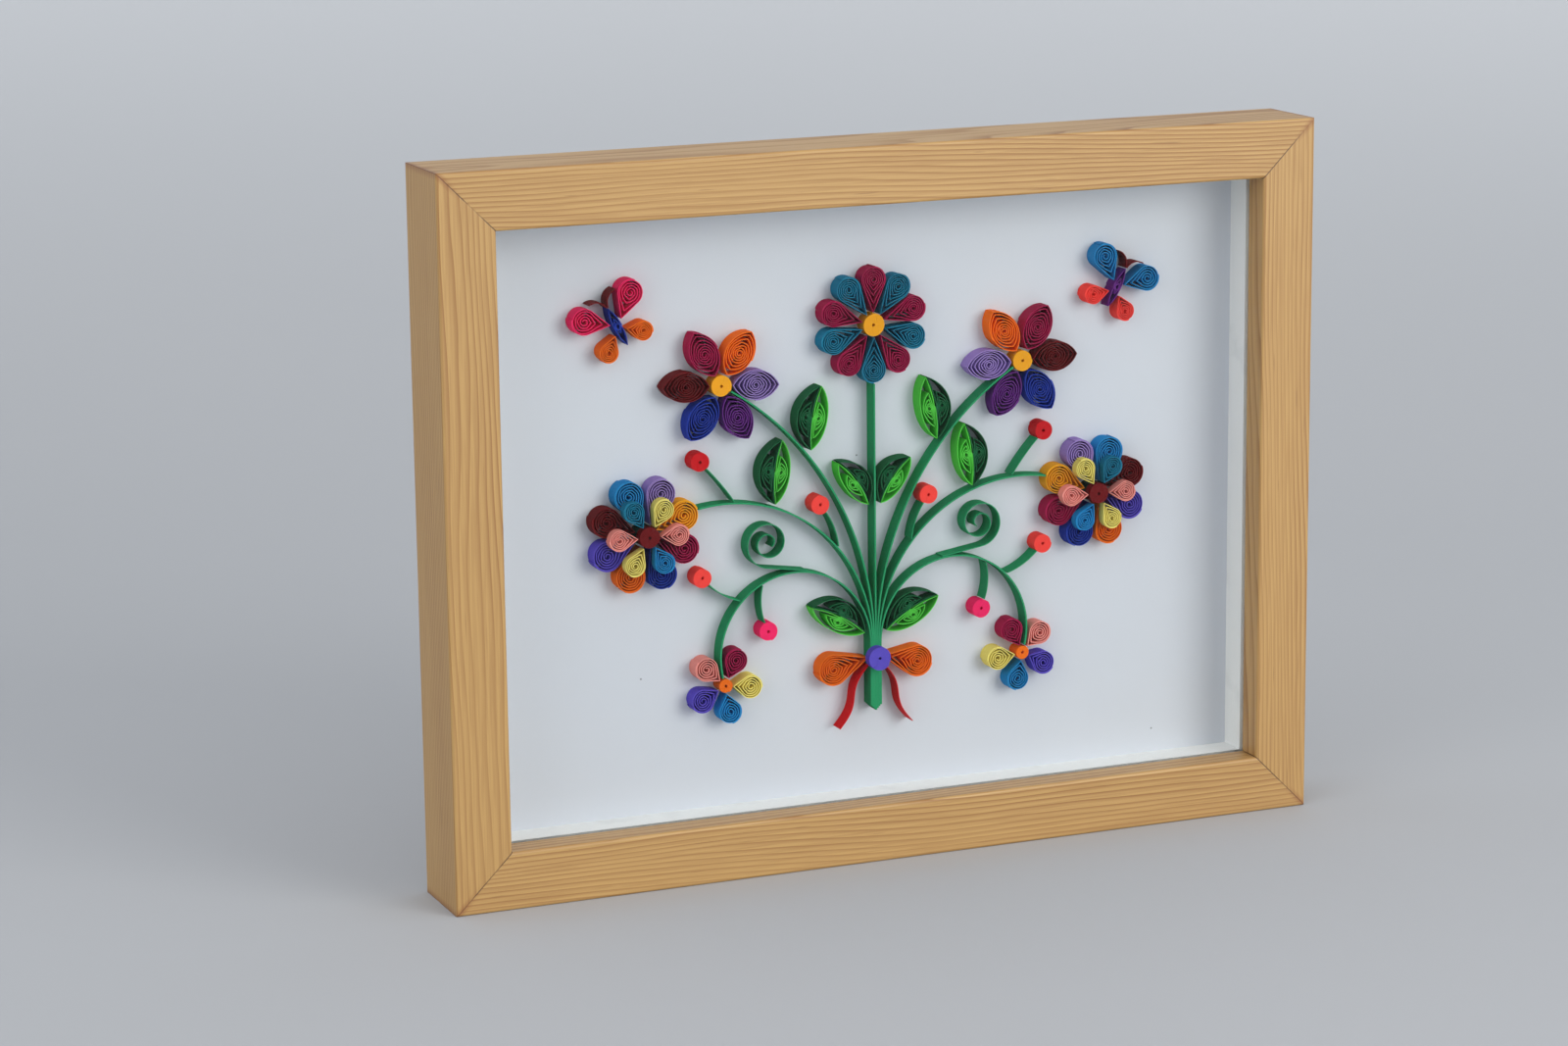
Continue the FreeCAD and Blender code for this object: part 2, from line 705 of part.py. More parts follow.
# The upper and the lower stem run between two petals to the roll in the middle.
# The middle one stops at the rim of its closed ring of petals.
stems = {
    "upper": ArcStem(1, UPPER_FLOWER, motif("upper_centre_radius")),
    "middle": ArcStem(2, MIDDLE_FLOWER, MIDDLE_FLOWER_RADIUS + PAPER),
    "lower": ArcStem(3, LOWER_FLOWER, motif("lower_centre_radius")),
}


def mirror(shape):
    """The same piece on the other side of the picture."""
    return shape.mirror(FreeCAD.Vector(0, 0, 0), FreeCAD.Vector(1, 0, 0))


def both_sides(label_start, label_end, shapes):
    """A node on the right-hand side and its mirror image on the left."""
    group(f"{label_start}_right{label_end}", shapes)
    group(f"{label_start}_left{label_end}", [mirror(shape) for shape in shapes])


centre_top = TOP_FLOWER - 1j * (TOP_FLOWER_RADIUS + CENTRE_GAP + PAPER)
group("stem_centre", [paper_strip([complex(0, FOOT_LEVEL), centre_top], STEM)])
for name, stem in stems.items():
    both_sides(f"stem_{name}", "", [paper_strip(stem.points(), STEM, pinches=[1])])

# Open scrolls, which leave the lower stems along their tangent and curl up

SCROLL_SHARE = 0.42
SCROLL_TURNS = 1.85
SCROLL_EYE = 0.2


def scroll(stem, share):
    """A strip that runs straight off the stem and then winds inwards."""
    off_stem = STEM / 2 + size("twig_thickness") / 2 + GLUE_GAP
    start = stem.at(share, off_stem)
    step = heading(stem.direction(share))
    curl_start = start + motif("scroll_run") * step
    radius = motif("scroll_radius")
    centre = curl_start + 1j * radius * step
    points = [start]
    count = 44
    for number in range(count + 1):
        part = number / count
        spoke = radius * (1 - (1 - SCROLL_EYE) * part)
        points.append(centre - 1j * spoke * step * cmath.exp(2j * math.pi * SCROLL_TURNS * part))
    return paper_strip(points, size("twig_thickness"), pinches=[1])


both_sides("scroll", "", [scroll(stems["lower"], SCROLL_SHARE)])

# Berries: tight rolls on thin curved twigs. Each twig is given by its stem, its start along it,
# its side, its lean from the stem, its length as a motif and how far it turns.

TWIGS = [
    ("middle", 0.40, 1, 34, 11.0, -30),
    ("middle", 0.86, 1, 52, 13.0, -10),
    ("lower", 0.60, -1, -50, 11.0, -35),
    ("lower", 0.70, 1, 62, 11.0, 30),
]


def twig_and_berry(stem_name, share, side, lean, length, turning):
    """A twig as an arc, and the roll at its end."""
    stem = stems[stem_name]
    thickness = size("twig_thickness")
    off_stem = side * (STEM / 2 + GLUE_GAP)
    direction = stem.direction(share) + lean
    count = 10
    point = stem.at(share, off_stem) + heading(direction) * thickness
    points = [point]
    for _ in range(count):
        point += heading(direction) * MOTIF_SCALE * length / count
        direction += turning / count
        points.append(point)
    berry = point + heading(direction) * (motif("berry_radius") + GLUE_GAP)
    return paper_strip(points, thickness), tight_roll(berry, motif("berry_radius"))


pairs = [twig_and_berry(*twig) for twig in TWIGS]
both_sides("berry_twigs", "", [twig for twig, berry in pairs])
both_sides("berries", "", [berry for twig, berry in pairs])

# Two-tone leaves on the stems. Each is given by its start along the stem, its side and its lean.

LEAVES = {
    "upper": ("upper", 0.68, 1, 50),
    "middle": ("middle", 0.72, 1, 80),
    "lower": ("lower", 0.06, -1, -50),
}


def two_tone_leaf(root, turned, scale=1.0, flip=1):
    """A pair of half leaves along one midrib."""
    length = motif("leaf_length") * scale
    width = motif("leaf_width") * scale
    bend = motif("leaf_bend") * flip
    return [half_leaf(root, turned, length, width, bend, far_side) for far_side in (False, True)]


LEAF_OFF_STEM = STEM / 2 + size("leaf_gap")
for name, (stem_name, share, side, lean) in LEAVES.items():
    stem = stems[stem_name]
    root = stem.at(share, side * LEAF_OFF_STEM)
    both_sides(f"leaf_{name}", "", two_tone_leaf(root, stem.direction(share) + lean, flip=side))

# A smaller pair on the centre stem
CENTRE_LEAF_SHARE = 0.45
CENTRE_LEAF_LEAN = 54
CENTRE_LEAF_SCALE = 0.85
centre_leaf_level = GATHER_LEVEL + CENTRE_LEAF_SHARE * (TOP_FLOWER.imag - GATHER_LEVEL)
both_sides("leaf_centre", "",
           two_tone_leaf(complex(LEAF_OFF_STEM, centre_leaf_level), CENTRE_LEAF_LEAN,
                         scale=CENTRE_LEAF_SCALE, flip=-1))

# Flowers: petals round a tight roll


def teardrop_ring(place, count, first_angle, inner_radius, length, radius, **how):
    """Petals with their tips at the middle and their round ends outwards."""
    petals = []
    for number in range(count):
        angle = first_angle + 360 * number / count
        middle = place + heading(angle) * (inner_radius + CENTRE_GAP + length)
        petals.append(teardrop(middle, angle + 180, length, radius, **how))
    return petals


def eye_ring(place, count, first_angle, inner_radius, length, width):
    """Petals pointed at both ends."""
    petals = []
    for number in range(count):
        angle = first_angle + 360 * number / count
        middle = place + heading(angle) * (inner_radius + CENTRE_GAP + length / 2)
        petals.append(eye_coil(middle, angle, length, width))
    return petals


group("top_flower_petals",
      teardrop_ring(TOP_FLOWER, count=10, first_angle=18, inner_radius=motif("top_centre_radius"),
                    length=motif("top_petal_reach"), radius=motif("top_petal_radius"), turns=3))
group("top_flower_centre", [tight_roll(TOP_FLOWER, motif("top_centre_radius"))])

upper_arrival = stems["upper"].arrival(motif("upper_centre_radius") + motif("upper_petal_length") / 2)
both_sides("upper_flower", "_petals",
           eye_ring(UPPER_FLOWER, count=6, first_angle=upper_arrival + 30,
                    inner_radius=motif("upper_centre_radius"), length=motif("upper_petal_length"),
                    width=motif("upper_petal_width")))
both_sides("upper_flower", "_centre", [tight_roll(UPPER_FLOWER, motif("upper_centre_radius"))])

both_sides("middle_flower", "_outer_petals",
           teardrop_ring(MIDDLE_FLOWER, count=8, first_angle=22.5,
                         inner_radius=motif("middle_centre_radius"), length=motif("outer_petal_reach"),
                         radius=motif("outer_petal_radius"), turns=3))
both_sides("middle_flower", "_inner_petals",
           teardrop_ring(MIDDLE_FLOWER, count=6, first_angle=0,
                         inner_radius=motif("middle_centre_radius"), length=motif("inner_petal_reach"),
                         radius=motif("inner_petal_radius"), turns=3, depth=UPPER_DEPTH,
                         level=STRIP_DEPTH))
both_sides("middle_flower", "_centre",
           [tight_roll(MIDDLE_FLOWER, motif("middle_centre_radius")),
            tight_roll(MIDDLE_FLOWER, motif("middle_centre_radius"), UPPER_DEPTH, STRIP_DEPTH)])

lower_arrival = stems["lower"].arrival(motif("lower_centre_radius") + motif("lower_petal_reach"))
both_sides("lower_flower", "_petals",
           teardrop_ring(LOWER_FLOWER, count=5, first_angle=lower_arrival + 36,
                         inner_radius=motif("lower_centre_radius"), length=motif("lower_petal_reach"),
                         radius=motif("lower_petal_radius")))
both_sides("lower_flower", "_centre", [tight_roll(LOWER_FLOWER, motif("lower_centre_radius"))])

# Butterflies in the upper corners: four wings, an eye-shaped body and two feelers

BUTTERFLY = place_of("butterfly")
BODY_LEAN = 62
FEELER_LEAN = 8
FEELER_TURNING = 90

# Each wing is given by its side, its angle to the body, its sizes and its root along the body
WINGS = [
    (1, 50, "wing", 1.6),
    (-1, 50, "wing", 1.6),
    (1, 128, "hind_wing", -1.8),
    (-1, 128, "hind_wing", -1.8),
]


def wing(side, spread, name, along):
    """A wing whose pinched tip meets the body."""
    length = motif(f"{name}_reach")
    body_side = motif("butterfly_width") / 2 + PAPER + CENTRE_GAP
    root = BUTTERFLY + heading(BODY_LEAN) * (MOTIF_SCALE * along + 1j * side * body_side)
    turned = BODY_LEAN + side * spread
    return teardrop(root + heading(turned) * length, turned + 180, length, motif(f"{name}_radius"))


def feeler(side):
    """A short strip from the head, which curls outwards."""
    head = motif("butterfly_length") / 2 + PAPER + GLUE_GAP
    thickness = size("twig_thickness")
    point = BUTTERFLY + heading(BODY_LEAN) * (head + 1j * side * (thickness / 2 + GLUE_GAP))
    direction = BODY_LEAN + side * FEELER_LEAN
    points = [point]
    count = 10
    for _ in range(count):
        point += heading(direction) * motif("feeler_length") / count
        direction += side * FEELER_TURNING / count
        points.append(point)
    return paper_strip(points, thickness)


both_sides("butterfly", "_wings", [wing(*placed) for placed in WINGS])
butterfly_body = eye_coil(BUTTERFLY, BODY_LEAN, motif("butterfly_length"),
                          motif("butterfly_width"), turns=2)
both_sides("butterfly", "_body", [butterfly_body, feeler(1), feeler(-1)])

# Bow at the gather: two loops, two tails and a knot that lies on the stems

BOW_LEVEL = GATHER_LEVEL - motif("bow_drop")
STEMS_SIDE_BY_SIDE = 1 + 2 * len(stems)
BUNDLE_SIDE = STEMS_SIDE_BY_SIDE * STEM / 2 + CENTRE_GAP + PAPER
LOOP_LEAN = -14


def bow_loop():
    """A loop with its pinched tip at the stems."""
    tip = complex(BUNDLE_SIDE, BOW_LEVEL)
    length = motif("loop_reach")
    middle = tip + heading(LOOP_LEAN) * length
    return teardrop(middle, LOOP_LEAN + 180, length, motif("loop_radius"), turns=5)


def bow_tail():
    """A strip that hangs from the knot in a gentle wave."""
    count = 14
    top = complex(BUNDLE_SIDE, BOW_LEVEL - motif("loop_radius") / 2)
    points = []
    for number in range(count + 1):
        part = number / count
        wave = motif("tail_wave") * math.sin(2 * math.pi * part)
        points.append(top + complex(motif("tail_spread") * part + wave, -motif("tail_drop") * part))
    return paper_strip(points, PAPER)


loop = bow_loop()
tail = bow_tail()
group("bow_loops", [loop, mirror(loop)])
group("bow_tails", [tail, mirror(tail)])
group("bow_knot", [tight_roll(complex(0, BOW_LEVEL), motif("knot_radius"), UPPER_DEPTH, STRIP_DEPTH)])

# Check every object, then write each sub-part

doc.recompute()
for feature in doc.Objects:
    if "Invalid" in feature.State or "Error" in feature.State:
        raise RuntimeError(f"{feature.Label} did not compute: {feature.State}")
for feature in subparts:
    if feature.Shape.isNull() or not feature.Shape.isValid():
        raise RuntimeError(f"{feature.Label} has no valid shape")

os.makedirs("parts", exist_ok=True)
for feature in subparts:
    feature.Shape.exportStep(os.path.join("parts", f"{feature.Label}.step"))
print(f"{len(subparts)} sub-parts written")
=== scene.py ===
import cmath
import math
import random

import bpy
from mathutils import Matrix, Vector


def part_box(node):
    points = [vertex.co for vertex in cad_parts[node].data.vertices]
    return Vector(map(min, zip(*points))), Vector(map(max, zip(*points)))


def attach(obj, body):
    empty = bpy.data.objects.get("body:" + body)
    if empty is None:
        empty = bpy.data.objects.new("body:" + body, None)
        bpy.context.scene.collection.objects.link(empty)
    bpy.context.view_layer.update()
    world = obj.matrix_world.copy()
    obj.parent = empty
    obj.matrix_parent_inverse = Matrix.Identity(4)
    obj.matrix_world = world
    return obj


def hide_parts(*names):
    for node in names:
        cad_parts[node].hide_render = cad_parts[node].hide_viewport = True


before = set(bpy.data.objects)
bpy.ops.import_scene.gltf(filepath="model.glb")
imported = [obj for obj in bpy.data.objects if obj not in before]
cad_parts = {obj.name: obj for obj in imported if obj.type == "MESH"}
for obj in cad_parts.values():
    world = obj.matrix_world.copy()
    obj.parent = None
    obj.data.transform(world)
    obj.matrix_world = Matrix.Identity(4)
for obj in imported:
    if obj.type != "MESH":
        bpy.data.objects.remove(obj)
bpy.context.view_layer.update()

# Backing card
# Smooth white card behind the picture. The strips stand on it, glued by their edges, and
# it is cut to the size of the rebate.

MM = 0.001


class Wire:
    """A node's output. Sums and products of wires and numbers add Math nodes."""

    def __init__(self, plan, socket):
        self.plan = plan
        self.socket = socket

    def output(self, name):
        """Another output of the same node."""
        return Wire(self.plan, self.socket.node.outputs[name])

    def maths(self, operation, *values):
        """A Math node with this wire as its first value."""
        return self.plan.maths(operation, self, *values)

    def __add__(self, other):
        return self.plan.maths("ADD", self, other)

    def __radd__(self, other):
        return self.plan.maths("ADD", other, self)

    def __sub__(self, other):
        return self.plan.maths("SUBTRACT", self, other)

    def __rsub__(self, other):
        return self.plan.maths("SUBTRACT", other, self)

    def __mul__(self, other):
        return self.plan.maths("MULTIPLY", self, other)

    def __rmul__(self, other):
        return self.plan.maths("MULTIPLY", other, self)

    def __truediv__(self, other):
        return self.plan.maths("DIVIDE", self, other)

    def __pow__(self, other):
        return self.plan.maths("POWER", self, other)


class Plan:
    """The nodes of one material or of one geometry tree."""

    def __init__(self, tree):
        self.tree = tree

    def node(self, kind, settings=None, sockets=None, output=0):
        """Add a node: its settings first, then its sockets' values or links."""
        made = self.tree.nodes.new(kind)
        for name, value in (settings or {}).items():
            setattr(made, name, value)
        for name, value in (sockets or {}).items():
            if isinstance(value, Wire):
                self.tree.links.new(value.socket, made.inputs[name])
            else:
                made.inputs[name].default_value = value
        return Wire(self, made.outputs[output]) if made.outputs else made

    def maths(self, operation, *values):
        """A Math node."""
        return self.node("ShaderNodeMath", {"operation": operation}, dict(enumerate(values)))

    def blend(self, factor, first, second):
        """A colour between two others."""
        return self.node("ShaderNodeMix", {"data_type": "RGBA"},
                         {0: factor, 6: first, 7: second}, output=2)

    def smooth(self, value, low, high):
        """A value's smooth rise from 0 to 1 between two bounds."""
        return self.node("ShaderNodeMapRange", {"interpolation_type": "SMOOTHSTEP"},
                         {"Value": value, "From Min": low, "From Max": high})


def srgb(red, green, blue):
    """A colour of 0 to 255 steps as Blender's linear colour."""
    channels = []
    for step in (red, green, blue):
        share = step / 255
        channels.append(share / 12.92 if share <= 0.04045 else ((share + 0.055) / 1.055) ** 2.4)
    return (*channels, 1.0)


class Finish(Plan):
    """A material's plan, with its Object coordinates and its shader at hand."""

    def __init__(self, name):
        self.material = bpy.data.materials.new(name)
        self.material.use_nodes = True
        super().__init__(self.material.node_tree)
        self.shader = self.tree.nodes["Principled BSDF"]
        self.place = self.node("ShaderNodeTexCoord", output="Object")

    def noise(self, scale, detail=2.0, stretch=(1, 1, 1), shift=(0, 0, 0)):
        """Soft noise of 0 to 1, with a scale in cells per metre and a stretch of it by axis."""
        moved = self.node("ShaderNodeMapping", {},
                          {"Vector": self.place, "Location": shift, "Scale": stretch})
        return self.node("ShaderNodeTexNoise", {},
                         {"Vector": moved, "Scale": scale, "Detail": detail})

    def axes(self):
        """The three coordinates of a point, in metres."""
        split = self.node("ShaderNodeSeparateXYZ", {}, {0: self.place})
        return split, split.output("Y"), split.output("Z")

    def attribute(self, name):
        """A number kept on the mesh."""
        return self.node("ShaderNodeAttribute", {"attribute_name": name}, output="Fac")

    def finish(self, colour, roughness, bump=None, strength=0.3, distance=0.1 * MM, fixed=None):
        """Join what varies to the shader, and set on it what is the same all over."""
        joined = {"Base Color": colour, "Roughness": roughness}
        if bump is not None:
            relief = {"Strength": strength, "Distance": distance, "Height": bump}
            joined["Normal"] = self.node("ShaderNodeBump", {}, relief)
        for name, value in joined.items():
            if isinstance(value, Wire):
                self.tree.links.new(value.socket, self.shader.inputs[name])
            else:
                self.shader.inputs[name].default_value = value
        for name, value in (fixed or {}).items():
            self.shader.inputs[name].default_value = value
        return self.material


def dress(node, material):
    """Give a CAD node its material."""
    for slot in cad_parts[node].material_slots:
        slot.material = material


SPECKS = ((-3.5 * MM, 114.5 * MM), (91.2 * MM, 23.6 * MM), (-70.1 * MM, 56.1 * MM))
SPECK_RADIUS = 0.25 * MM
card_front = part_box("backing_card")[0].y


def white_card():
    """Card with a fine tooth, a faint cloudiness and three dust specks."""
    plan = Finish("white_card")
    cloud = plan.noise(14, 3)
    tooth = plan.noise(2600, 4)
    colour = plan.blend(cloud, srgb(203, 206, 216), srgb(209, 212, 219))
    colour = plan.blend(tooth * 0.10, colour, srgb(170, 172, 181))
    for across, up in SPECKS:
        away = plan.node("ShaderNodeVectorMath", {"operation": "DISTANCE"},
                         {0: plan.place, 1: (across, card_front, up)}, output="Value")
        speck = 1 - plan.smooth(away, 0.72 * SPECK_RADIUS, 1.28 * SPECK_RADIUS)
        colour = plan.blend(speck * 0.8, colour, srgb(60, 58, 60))
    return plan.finish(colour, 0.72 + 0.12 * tooth, tooth, 0.12)


dress("backing_card", white_card())

# Paper strips
# Dyed quilling paper, cut in strips and rolled, pinched or bent by hand. Every strip stands
# on edge, so a thin pale cut edge shows from the front and its dyed side shows within.

PAPER = 0.22 * MM
TURN_GAP = 0.04 * MM
STRIP_DEPTH = 5.0 * MM
UPPER_DEPTH = 3.0 * MM
DEPTH_SPREAD = 0.12 * MM
EYE_RADIUS = 0.45 * MM
CUT_EDGE_FACING = 0.7
FOLD_ANGLE = 0.9

half_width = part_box("rail_right")[0].x
half_height = (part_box("rail_top")[0].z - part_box("rail_bottom")[1].z) / 2
middle_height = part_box("rail_bottom")[1].z + half_height


def paper(name, colour):
    """Dyed paper with faint fibres, a paler cut edge and a tone of its own for each strip."""
    plan = Finish(f"paper_{name}")
    fibre = plan.noise(2200, 3, (1.0, 0.35, 1.0))
    mottle = plan.noise(160, 2)
    tone = plan.attribute("tone")
    cut_edge = plan.attribute("cut_edge")
    dye = srgb(*colour)
    darker = srgb(*(0.86 * step for step in colour))
    lighter = srgb(*(step + 0.05 * (255 - step) for step in colour))
    pale = srgb(*(step + 0.09 * (255 - step) for step in colour))
    shade = plan.blend(0.25 + 0.75 * tone, darker, dye)
    shade = plan.blend(plan.smooth(fibre, 0.45, 0.85) * 0.45, shade, lighter)
    shade = plan.blend(plan.smooth(mottle, 0.4, 0.8) * 0.25, shade, darker)
    shade = plan.blend(cut_edge * (0.15 + 0.55 * fibre), shade, pale)
    return plan.finish(shade, 0.68 + 0.2 * fibre, fibre, 0.25, 0.06 * MM,
                       {"Specular IOR Level": 0.1})


class Shape(Plan):
    """A geometry tree's plan, with named inputs and a strip's cross-section at its end."""

    def __init__(self, name, **inputs):
        super().__init__(bpy.data.node_groups.new(name, "GeometryNodeTree"))
        face = self.tree.interface
        face.new_socket("Geometry", in_out="INPUT", socket_type="NodeSocketGeometry")
        for label, kind in inputs.items():
            face.new_socket(label, in_out="INPUT", socket_type=f"NodeSocket{kind}")
        strip = {"thickness": "Float", "depth": "Float", "tone": "Float", "paper": "Material"}
        for label, kind in strip.items():
            face.new_socket(label, in_out="INPUT", socket_type=f"NodeSocket{kind}")
        face.new_socket("Geometry", in_out="OUTPUT", socket_type="NodeSocketGeometry")
        self.given = self.node("NodeGroupInput")

    def take(self, label):
        """One of the tree's inputs."""
        return self.given.output(label)

    def strip_on_edge(self, line):
        """Give a line the section of a strip on edge, mark its cut edges and end the tree."""
        curve = self.node("GeometryNodeMeshToCurve", {}, {"Mesh": line})
        curve = self.node("GeometryNodeSetCurveNormal", {"mode": "Z_UP"}, {"Curve": curve})
        section = self.node("GeometryNodeCurvePrimitiveQuadrilateral", {"mode": "RECTANGLE"},
                            {"Width": self.take("thickness"), "Height": self.take("depth")})
        strip = self.node("GeometryNodeCurveToMesh", {},
                          {"Curve": curve, "Profile Curve": section, "Fill Caps": True})
        lift = self.node("ShaderNodeCombineXYZ", {}, {"Z": self.take("depth") * 0.5})
        strip = self.node("GeometryNodeSetPosition", {}, {"Geometry": strip, "Offset": lift})
        facing = self.node("ShaderNodeSeparateXYZ", {}, {0: self.node("GeometryNodeInputNormal")})
        upward = facing.output("Z").maths("ABSOLUTE").maths("GREATER_THAN", CUT_EDGE_FACING)
        for label, value in (("cut_edge", upward), ("tone", self.take("tone"))):
            strip = self.node("GeometryNodeStoreNamedAttribute",
                              {"data_type": "FLOAT", "domain": "FACE"},
                              {"Geometry": strip, "Name": label, "Value": value})
        corner = self.node("GeometryNodeInputMeshEdgeAngle").maths("GREATER_THAN", FOLD_ANGLE)
        strip = self.node("GeometryNodeSetShadeSmooth", {"domain": "FACE"},
                          {"Geometry": strip, "Shade Smooth": True})
        strip = self.node("GeometryNodeSetShadeSmooth", {"domain": "EDGE"},
                          {"Geometry": strip, "Selection": corner, "Shade Smooth": False})
        whole = self.node("GeometryNodeRealizeInstances", {}, {"Geometry": strip})
        whole = self.node("GeometryNodeSetMaterial", {},
                          {"Geometry": whole, "Material": self.take("paper")})
        self.node("NodeGroupOutput", {}, {"Geometry": whole})
        return self.tree


def coil_tree(name, seam, reach, **inputs):
    """A tree that rolls a strip from its eye outwards, until its last turn follows an outline.

    reach gives the outline's distance from the coil's centre in a direction. The strip's
    end lies at the seam, where the outline is nearest.
    """
    plan = Shape(name, steps="Int", turns="Float", eye="Float", nearest="Float", bend="Float",
                 span="Float", unevenness="Float", seed="Float", **inputs)
    turns = plan.take("turns")
    steps = plan.take("steps")
    nearest = plan.take("nearest")
    line = plan.node("GeometryNodeMeshLine", {"mode": "OFFSET"},
                     {"Count": turns * steps + 1, "Offset": (0, 0, 0)})
    progress = plan.node("GeometryNodeInputIndex") / steps
    direction = progress * (2 * math.pi) + seam
    outline = reach(plan, direction)
    wrap = plan.take("thickness") + TURN_GAP
    closing = 1 - wrap / nearest
    opening = plan.take("eye") / nearest
    share = opening + (closing - opening) * progress / (turns - 1)
    wander = plan.node("ShaderNodeTexNoise", {"noise_dimensions": "1D"},
                       {"W": progress * 1.7 + plan.take("seed"), "Detail": 1.0})
    hidden = share * (1 - share) * 4
    share = share + (wander - 0.5) * plan.take("unevenness") * hidden
    pinched = share * share
    inside = share * (nearest * (1 - pinched) + outline * pinched)
    outside = outline - (turns - progress) * wrap
    within = progress.maths("LESS_THAN", turns - 1)
    distance = inside * within + outside * (1 - within)
    along = distance * direction.maths("COSINE")
    bow = along / plan.take("span")
    aside = distance * direction.maths("SINE") + plan.take("bend") * bow * bow
    point = plan.node("ShaderNodeCombineXYZ", {}, {"X": along, "Y": aside})
    placed = plan.node("GeometryNodeSetPosition", {}, {"Geometry": line, "Position": point})
    return plan.strip_on_edge(placed)


def teardrop_reach(plan, direction):
    """A circle with a tip at a length in the direction 0."""
    half_angle = (plan.take("radius") / plan.take("length")).maths("ARCCOSINE")
    off_tip = direction.maths("WRAP", math.pi, -math.pi).maths("ABSOLUTE")
    return plan.take("radius") / (half_angle - off_tip).maths("MAXIMUM", 0.0).maths("COSINE")


def eye_reach(plan, direction):
    """Two arcs that meet at both ends of a length."""
    rise = plan.take("width") / 2
    half = plan.take("length") / 2
    arc_radius = (half * half + rise * rise) / (rise * 2)
    drop = arc_radius - rise
    level = drop * direction.maths("COSINE")
    up = direction.maths("SINE").maths("ABSOLUTE")
    return (arc_radius * arc_radius - level * level).maths("SQRT") - drop * up


def half_leaf_reach(plan, direction):
    """An arc over a straight midrib, which lies a share of the width below the centre."""
    half = plan.take("length") / 2
    width = plan.take("width")
    arc_radius = (half * half + width * width) / (width * 2)
    rise = plan.take("nearest")
    drop = arc_radius - width + rise
    up = direction.maths("SINE")
    level = drop * direction.maths("COSINE")
    arc = (arc_radius * arc_radius - level * level).maths("SQRT") - drop * up
    below = up.maths("LESS_THAN", -0.001)
    midrib = rise / (0 - up).maths("MAXIMUM", 0.001)
    return arc.maths("MINIMUM", midrib * below + (1 - below))


def roll_reach(plan, direction):
    """A circle."""
    return plan.take("nearest") + direction * 0.0


teardrop_tree = coil_tree("teardrop_coil", math.pi, teardrop_reach, length="Float", radius="Float")
eye_tree = coil_tree("eye_coil", math.pi / 2, eye_reach, length="Float", width="Float")
half_leaf_tree = coil_tree("half_leaf_coil", -math.pi / 2, half_leaf_reach,
                           length="Float", width="Float")
roll_tree = coil_tree("tight_roll", 0.0, roll_reach)

ribbon_plan = Shape("bent_strip")
ribbon_tree = ribbon_plan.strip_on_edge(ribbon_plan.take("Geometry"))

chance = random.Random(7)


def heading(degrees):
    """A flat step of length one in a direction. Flat points are complex numbers."""
    return cmath.exp(1j * math.radians(degrees))


def shaped(tree, base, **values):
    """Evaluate a tree on a base mesh and give the plain mesh that it makes."""
    holder = bpy.data.objects.new("holder", base)
    bpy.context.scene.collection.objects.link(holder)
    modifier = holder.modifiers.new("strip", "NODES")
    modifier.node_group = tree
    values = {"thickness": PAPER, "depth": STRIP_DEPTH, "tone": chance.random(), **values}
    for item in tree.interface.items_tree:
        if item.in_out == "INPUT" and item.name in values:
            modifier[item.identifier] = values[item.name]
    evaluated = holder.evaluated_get(bpy.context.evaluated_depsgraph_get())
    mesh = bpy.data.meshes.new_from_object(evaluated)
    bpy.data.objects.remove(holder)
    return mesh


def set_down(mesh, place, turned, level, far_side):
    """Turn a coil and move it to its place, a level above the card."""
    flip = Matrix.Diagonal((1, -1 if far_side else 1, 1, 1))
    turn = Matrix.Rotation(math.radians(turned), 4, "Z")
    mesh.transform(Matrix.Translation((place.real, place.imag, level)) @ turn @ flip)
    if far_side:
        mesh.flip_normals()
    return mesh


def coil(tree, place, turned, level=0.0, far_side=False, **values):
    """A shaped coil at its place."""
    values = {"steps": 36, "eye": EYE_RADIUS, "span": 1.0, "unevenness": 0.12,
              "seed": chance.uniform(0, 50), **values}
    values["depth"] = values.get("depth", STRIP_DEPTH) - chance.uniform(0, DEPTH_SPREAD)
    mesh = shaped(tree, bpy.data.meshes.new("blank"), **values)
    return set_down(mesh, place, turned + chance.uniform(-1.0, 1.0), level, far_side)


def teardrop(dye, place, turned, length, radius, turns=6, **values):
    """A coil with one pinched tip."""
    return coil(teardrop_tree, place, turned, length=length, radius=radius, nearest=radius,
                turns=float(turns), paper=dye, **values)


def eye_coil(dye, place, turned, length, width, turns=7):
    """A coil pinched at both ends."""
    return coil(eye_tree, place, turned, length=length, width=width, nearest=width / 2,
                turns=float(turns), paper=dye)


def tight_roll(dye, place, radius, **values):
    """A coil whose turns touch."""
    turns = (radius - EYE_RADIUS) / (PAPER + TURN_GAP)
    return coil(roll_tree, place, chance.uniform(0, 360), nearest=radius, steps=28, turns=turns,
                unevenness=0.0, paper=dye, **values)


MIDRIB_RISE = 0.4
LONG_LEAF = 16.0 * MM


def half_leaf(dye, root, turned, length, width, bend, far_side):
    """Half of a leaf, with a straight side along the midrib and a round one."""
    rise = MIDRIB_RISE * width
    middle = complex(length / 2, rise + PAPER / 2 + TURN_GAP)
    place = root + (middle.conjugate() if far_side else middle) * heading(turned)
    return coil(half_leaf_tree, place, turned, far_side=far_side, length=length, width=width,
                nearest=rise, turns=5.0 if length > LONG_LEAF else 4.0, steps=64, unevenness=0.05,
                bend=-bend if far_side else bend, span=length / 2, paper=dye)


def ribbon(dye, points, thickness):
    """A strip along a line of flat points."""
    line = bpy.data.meshes.new("line")
    edges = [(number, number + 1) for number in range(len(points) - 1)]
    line.from_pydata([(point.real, point.imag, 0) for point in points], edges, [])
    return shaped(ribbon_tree, line, thickness=thickness, paper=dye)


